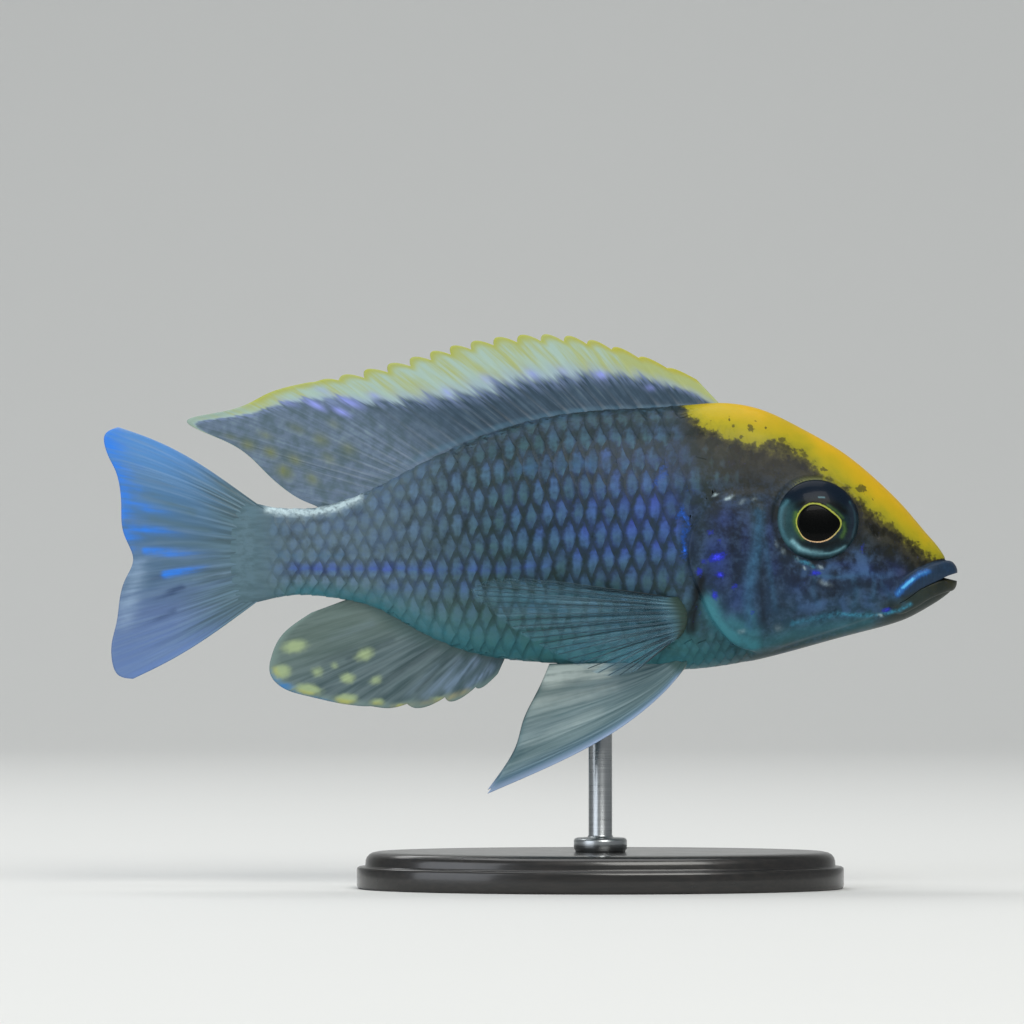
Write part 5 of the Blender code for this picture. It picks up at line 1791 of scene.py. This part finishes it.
@dataclass(frozen=True)
class PelvicFin(Fin):
    """A pelvic fin: hung from the belly and swept back, its leading edge bowed down and its tip drawn out."""

    def ends(self, numbers: Array) -> tuple[Array, Array]:
        """Roots in the belly and tips, on the right side."""
        root, out, behind, tip_out, height = self.keys(numbers).T
        _, belly, widest, half, _ = BODY.section(root)
        drop = (1 - (out / half) ** Body.BELLY_ROUND) ** (1 / Body.BELLY_ROUND)
        return stack(root, -out, widest - (widest - belly) * drop + 0.6), stack(behind, -tip_out, height)


@dataclass(frozen=True)
class PectoralFin(Fin):
    """A pectoral fin: it rises from the flank behind the gill cover and turns back along it."""

    root: float = 36.2
    lift: float = 1.9
    flare: float = 1.5
    turn: float = 0.06
    ease: float = 0.085
    quill_along: int = 48
    quill_around: int = 6

    def ends(self, numbers: Array) -> tuple[Array, Array]:
        """Roots under the flank on an arc that bulges forwards, and tips, on the right side."""
        height, behind, tip = self.keys(numbers).T
        side = BODY.side_at(np.full_like(height, self.root), height)
        root = self.root + 1.4 * (2 * numbers / (self.rays - 1) - 1) ** 2
        return stack(root, -(side - 0.9), height), stack(behind, -(side - 0.1 + self.flare), tip)

    def spread(self, numbers: Array, along: Array) -> Array:
        """Rays that leave the flank outwards and turn back: a²/(a + 0.06), with an early lift."""
        roots, tips = self.ends(numbers)
        a = along[:, None, None]
        back = a**2 / (a + self.turn) * (1 + self.turn)
        out = -self.lift * (1 - np.exp(-a / self.ease))
        return roots + (tips - roots) * back + out * np.array([0, 1, 0])

    def quills(self, paint: Material, side: str) -> None:
        """The fin's dark rays, thin tubes that fork at half their length, as a piece of their own.

        Args:
            paint: The rays' material.
            side: Which side they are on.
        """
        along = np.linspace(0.02, 0.985, self.quill_along)
        turn = spokes(self.quill_around)[:, None]
        points, faces, start = [], [], 0
        for ray in range(self.rays):
            for branch in (-1, 1):
                number = np.clip(ray + branch * (0.13 + 0.12 * rise(0.4, 1, along)), 0, self.rays - 1)
                centre = np.diagonal(self.spread(number, along)).T
                path = unit(np.gradient(centre, axis=0))
                out = unit(np.cross(path, (0, 0, 1)))
                ring = np.cos(turn) * out[:, None] + np.sin(turn) * np.cross(path, out)[:, None]
                tube, parts = lathe(centre[:, None] + ring * 0.13 * (1 - 0.55 * along)[:, None, None])
                points.append(tube)
                faces.append([part[:, ::-1] + start for part in parts])
                start += len(tube)
        mark = np.tile(np.append(np.repeat(along, self.quill_around), (0, 1)), len(points))
        merged = [np.concatenate(parts) for parts in zip(*faces)]
        shape = Shape(np.concatenate(points), merged, {"along": mark, "ray": 0 * mark})
        shape.sided(side).add_to_blender(f"pectoral_rays_{side}", paint, Slot.FIN)


# ---- the stand


@dataclass(frozen=True)
class Stand:
    """The oval base with its moulded edge and the turned rod with its collar."""

    behind: float = 47.9
    half_length: float = 33
    half_width: float = 19.5
    thick: float = 5
    around: int = 224
    rod: float = 1.6
    collar: float = 3.6
    collar_height: float = 1.6
    # The edge's outline: millimetres inside the oval, and share of the thickness.
    edge: Table = (
        (3, 0), (0.5, 0), (0.16, 0.02), (0, 0.1), (0, 0.3), (0, 0.5), (0.08, 0.57), (0.3, 0.6), (0.7, 0.605),
        (1.1, 0.61), (1.16, 0.66), (1.2, 0.76), (1.35, 0.85), (1.7, 0.93), (2.1, 0.975), (2.7, 1), (6, 1), (14, 1),
    )

    def build(self, wood: Material, steel: Material) -> None:
        """Both pieces, each turned from its outline.

        Args:
            wood: The base's material.
            steel: The rod's material.
        """
        turn = spokes(self.around)
        inset, share = np.array(self.edge).T[..., None]
        x = self.behind - (self.half_length - inset) * np.cos(turn)
        y = (self.half_width - inset) * np.sin(turn)
        shape = Shape(*lathe(stack(x, y, self.thick * share - AXIS_HEIGHT)))
        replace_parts(shape.add_to_blender("base", wood, Slot.WOOD), "stand_base")
        foot = self.thick - 0.02 - AXIS_HEIGHT
        head = float(BODY.section(np.array(self.behind))[1]) + 0.4
        top = foot + 0.3 + self.collar_height
        rod, collar = self.rod, self.collar
        out, height = np.array([
            (collar - 0.2, foot), (collar - 0.2, foot + 0.25), (collar, foot + 0.4), (collar, top - 0.4),
            (collar - 0.12, top - 0.12), (collar - 0.4, top), (rod + 0.5, top), (rod + 0.15, top + 0.1),
            (rod, top + 0.4), (rod, head - 1), (rod, head),
        ]).T[..., None]
        turn = turn[::2]
        shape = Shape(*lathe(stack(self.behind - out * np.cos(turn), out * np.sin(turn), height)))
        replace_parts(shape.add_to_blender("rod", steel, Slot.STEEL), "stand_rod")


# ---- the studio


@dataclass(frozen=True)
class Studio:
    """A pale floor that curves up behind, soft lamps, and the camera square to the fish's right side."""

    aim: tuple[float, float] = (-0.00237, 0.051)
    distance: float = 1.2
    width: float = 0.1387
    sensor: float = 36
    lamp_target: tuple[float, float, float] = (0, 0, 0.045)
    # The lamps' names, places in metres, sides in metres, powers in watts and tints.
    lamps: tuple = (
        ("key", (0.30, -0.80, 0.80), 0.6, 6.6, "#FFFDF8"),
        ("fill", (-0.75, -0.60, 0.35), 0.7, 3.2, "#F2F7FF"),
        ("top", (0, 0.1, 0.95), 0.7, 3, "#FFFFFF"),
        ("rear", (-0.3, 0.35, 0.75), 0.5, 2.4, "#FFFFFF"),
    )
    # The backdrop: where it starts to curve up, the curve's radius, and how far it reaches.
    bend_start: float = 0.7
    bend_radius: float = 0.5
    reach: float = 3

    def camera(self) -> None:
        """The camera, level, with the photograph's frame at the fish's middle plane."""
        data = bpy.data.cameras.new("camera")
        data.sensor_width = self.sensor
        data.lens = self.sensor * self.distance / self.width
        data.clip_start, data.clip_end = 0.01, 20
        made = link("camera", data)
        made.location = (self.aim[0], -self.distance, self.aim[1])
        made.rotation_euler = (math.pi / 2, 0, 0)
        bpy.context.scene.camera = made

    def light(self) -> None:
        """Square soft lamps aimed at the fish, and a dim pale sky."""
        for name, at, size, power, tint in self.lamps:
            data = bpy.data.lights.new(name, "AREA")
            data.shape, data.size, data.energy = "SQUARE", size, power
            data.color = linear(tint)[:3]
            made = link(name, data)
            made.location = at
            x, y, z = np.array(self.lamp_target) - at
            made.rotation_euler = (math.atan2(math.hypot(x, y), -z), 0, math.atan2(-x, y))
        world = bpy.data.worlds.new("studio")
        world.use_nodes = True
        sky = world.node_tree.nodes["Background"]
        sky.inputs["Color"].default_value = linear("#E8ECF0")
        sky.inputs["Strength"].default_value = 0.33
        bpy.context.scene.world = world
        bpy.context.scene.view_settings.view_transform = "Standard"

    def backdrop(self, paint: Material) -> None:
        """A sheet of this material that lies flat, then curves up in a quarter circle and stands upright."""
        bend = np.linspace(0, math.pi / 2, 24)
        start, radius = self.bend_start, self.bend_radius
        y = np.concatenate([[-self.reach], start + radius * np.sin(bend), [start + radius]])
        z = np.concatenate([[0], radius * (1 - np.cos(bend)), [self.reach]])
        x = np.linspace(-3.5, 3.5, 8)
        mesh = bpy.data.meshes.new("backdrop")
        points = stack(x, y[:, None], z[:, None]).reshape(-1, 3)
        mesh.from_pydata(points.tolist(), [], grid(len(y), len(x)).tolist())
        mesh.polygons.foreach_set("use_smooth", np.ones(len(mesh.polygons), bool))
        mesh.materials.append(paint)
        link("backdrop", mesh)


# ---- all together

AXIS_ROW = Curve(((14, 2), (30, 0.6), (44, -0.7), (53, -1.6), (61, -2.3), (75, -2.4), (98.6, -2.3)))
FLANK = FlankScales(
    "flank_scales",
    Curve(((34, 2.2), (48, 2.1), (62, 2), (75, 1.88), (98.6, 1.72))),
    Curve(((34, 3.2), (44, 3.3), (58, 3.4), (66, 3.15), (75, 2.65), (86, 1.9), (98.6, 1.75))),
    AXIS_ROW, -7, 8, (33, 95),
)
NAPE = SmallScales(
    "small_scales",
    Curve(((20, 1.35), (30, 1.4), (44, 1.5))),
    Curve(((20, 1.9), (30, 1.95), (44, 2.1))),
    AXIS_ROW, -16, 16, (20, 44), lift=0.05, across=6, along=3,
)
# The fins' rays: number, root and tip, as each kind of fin reads them.
DORSAL_KEYS = (
    (0, 31.2, 35.2, 23.7), (3, 39.8, 47, 28.2), (6, 47.1, 56.8, 29.5), (9, 54.4, 66.4, 28.3), (12, 61.8, 74.7, 26),
    (15, 69.1, 84, 23.7), (16, 70.8, 86.8, 23.1), (18, 73.2, 92.9, 21.5), (20, 75.1, 99.1, 19),
    (21, 76.1, 103.8, 17.9), (22, 77, 101.4, 16.1), (23, 78.4, 96.6, 13.8), (24, 80.6, 92.9, 10.4),
    (25, 83.4, 89.4, 7.6), (26, 85.4, 86.7, 6.35),
)
ANAL_KEYS = (
    (0, 60.6, 62, -17), (1, 62.2, 65.3, -19.2), (2, 64, 69.8, -20.8), (3, 65.8, 74.8, -21.25), (4, 67.5, 79.2, -21),
    (5, 69, 83.3, -20.5), (6, 70.5, 87.3, -19.6), (7, 71.9, 90.6, -18.6), (8, 73.3, 92.6, -16.6), (9, 75, 92.4, -14),
    (10, 77.4, 90.8, -11), (11, 81.2, 87, -8.2),
)
TAIL_KEYS = (
    (0, 5.3, 113.2, 16.9), (1, 4.9, 115, 15.9), (2, 4.4, 114.9, 13.9), (5, 3, 113.1, 9.3), (6, 2.1, 112.8, 6.3),
    (7, 1.2, 112.5, 2.6), (8, 0, 111.2, -0.8), (9, -1.2, 112.2, -3.6), (11, -3, 113.3, -8.8),
    (14, -4.7, 114.1, -14.4), (15, -5.1, 113.3, -16.6), (16, -5.5, 111.2, -17.2),
)
PELVIC_KEYS = (
    (0, 36, 2.9, 63.2, 8.7, -32.5), (1, 36.4, 2.8, 61.6, 8.5, -30.3), (2, 36.9, 2.7, 59.4, 7.8, -26.6),
    (3, 37.5, 2.9, 58.3, 6.4, -22.8), (4, 38.1, 2.7, 56.4, 4.8, -18.9), (5, 38.9, 2.5, 54.8, 2.8, -15.2),
)
PECTORAL_KEYS = (
    (0, -6.2, 54, -3.9), (1, -6.5, 59.8, -3.5), (2, -6.8, 64.4, -4.2), (3, -7.2, 65.2, -5.4), (4, -7.6, 63.6, -7),
    (6, -8.6, 59.5, -10.4), (8, -9.6, 54.5, -13.4), (10, -10.6, 49.2, -16), (11, -11, 46.3, -16.7),
    (12, -11.4, 43.1, -15.9),
)
DORSAL = MedianFin(
    "dorsal_web", "dorsal_fin", 27, 16, Curve(DORSAL_KEYS), 1.5, notch=0.085,
    spots=(("olive", Markings.SOFT_SPOTS), ("lavender", Markings.SOFT_GLINTS)),
)
ANAL = MedianFin(
    "anal_web", "anal_fin", 12, 4, Curve(ANAL_KEYS), 1.4, notch=0.16, gap_steps=14, below=True,
    lines=(
        ("frost", Markings.ANAL_FROST), ("ink", Markings.ANAL_INK), ("azure", Markings.ANAL_AZURE),
        ("cream", Markings.ANAL_CREAM),
    ),
    spots=(("egg", Markings.EGGS),),
)
TAIL = TailFin(
    "tail_web", "tail_fin", 17, 0, Curve(TAIL_KEYS), 1.4, gap_steps=14, bows=(1.3, -0.8), bow_power=1.2,
    lines=(
        ("frost", Markings.TAIL_FROST), ("ink", Markings.TAIL_INK), ("azure", Markings.TAIL_AZURE),
        ("moss", Markings.TAIL_MOSS),
    ),
)
PELVIC = PelvicFin(
    "pelvic_web", "pelvic_fin", 6, 1, Curve(PELVIC_KEYS), 0.9, gap_steps=20, length_steps=80, bows=(-3.1, 0),
    bow_power=0.65, lines=(("frost", Markings.PELVIC_FROST),),
)
PECTORAL = PectoralFin("pectoral_web", "pectoral_fin", 13, 0, Curve(PECTORAL_KEYS), 0.9, gap_steps=8, web=0.07)


def main() -> None:
    """Builds and dresses every piece in order."""
    logging.basicConfig(level=logging.INFO, format="%(name)s: %(message)s")
    studio = Studio()
    studio.camera()
    studio.light()
    studio.backdrop(Paper("backdrop_paper").paint())
    Skin().build(FishSkin("moist_skin").paint())
    Coat((FLANK, NAPE)).build(FishSkin("guanine_scales", plated=True).paint())
    Eye().build(WetIris("wet_iris").paint())
    DORSAL.build(DorsalWeb("dorsal_skin").paint())
    ANAL.build(AnalWeb("anal_skin").paint())
    TAIL.build(TailWeb("tail_skin").paint())
    pelvic_skin = PelvicWeb("pelvic_skin").paint()
    pectoral_skin, bone = PectoralWeb("pectoral_skin").paint(), PectoralRay("pectoral_bone").paint()
    for side in SIDES:
        PELVIC.build(pelvic_skin, side)
        PECTORAL.build(pectoral_skin, side)
        PECTORAL.quills(bone, side)
    Stand().build(BlackLacquer("black_lacquered_hardwood").paint(), BrushedSteel("brushed_stainless_steel").paint())


if __name__ == "__main__":
    main()
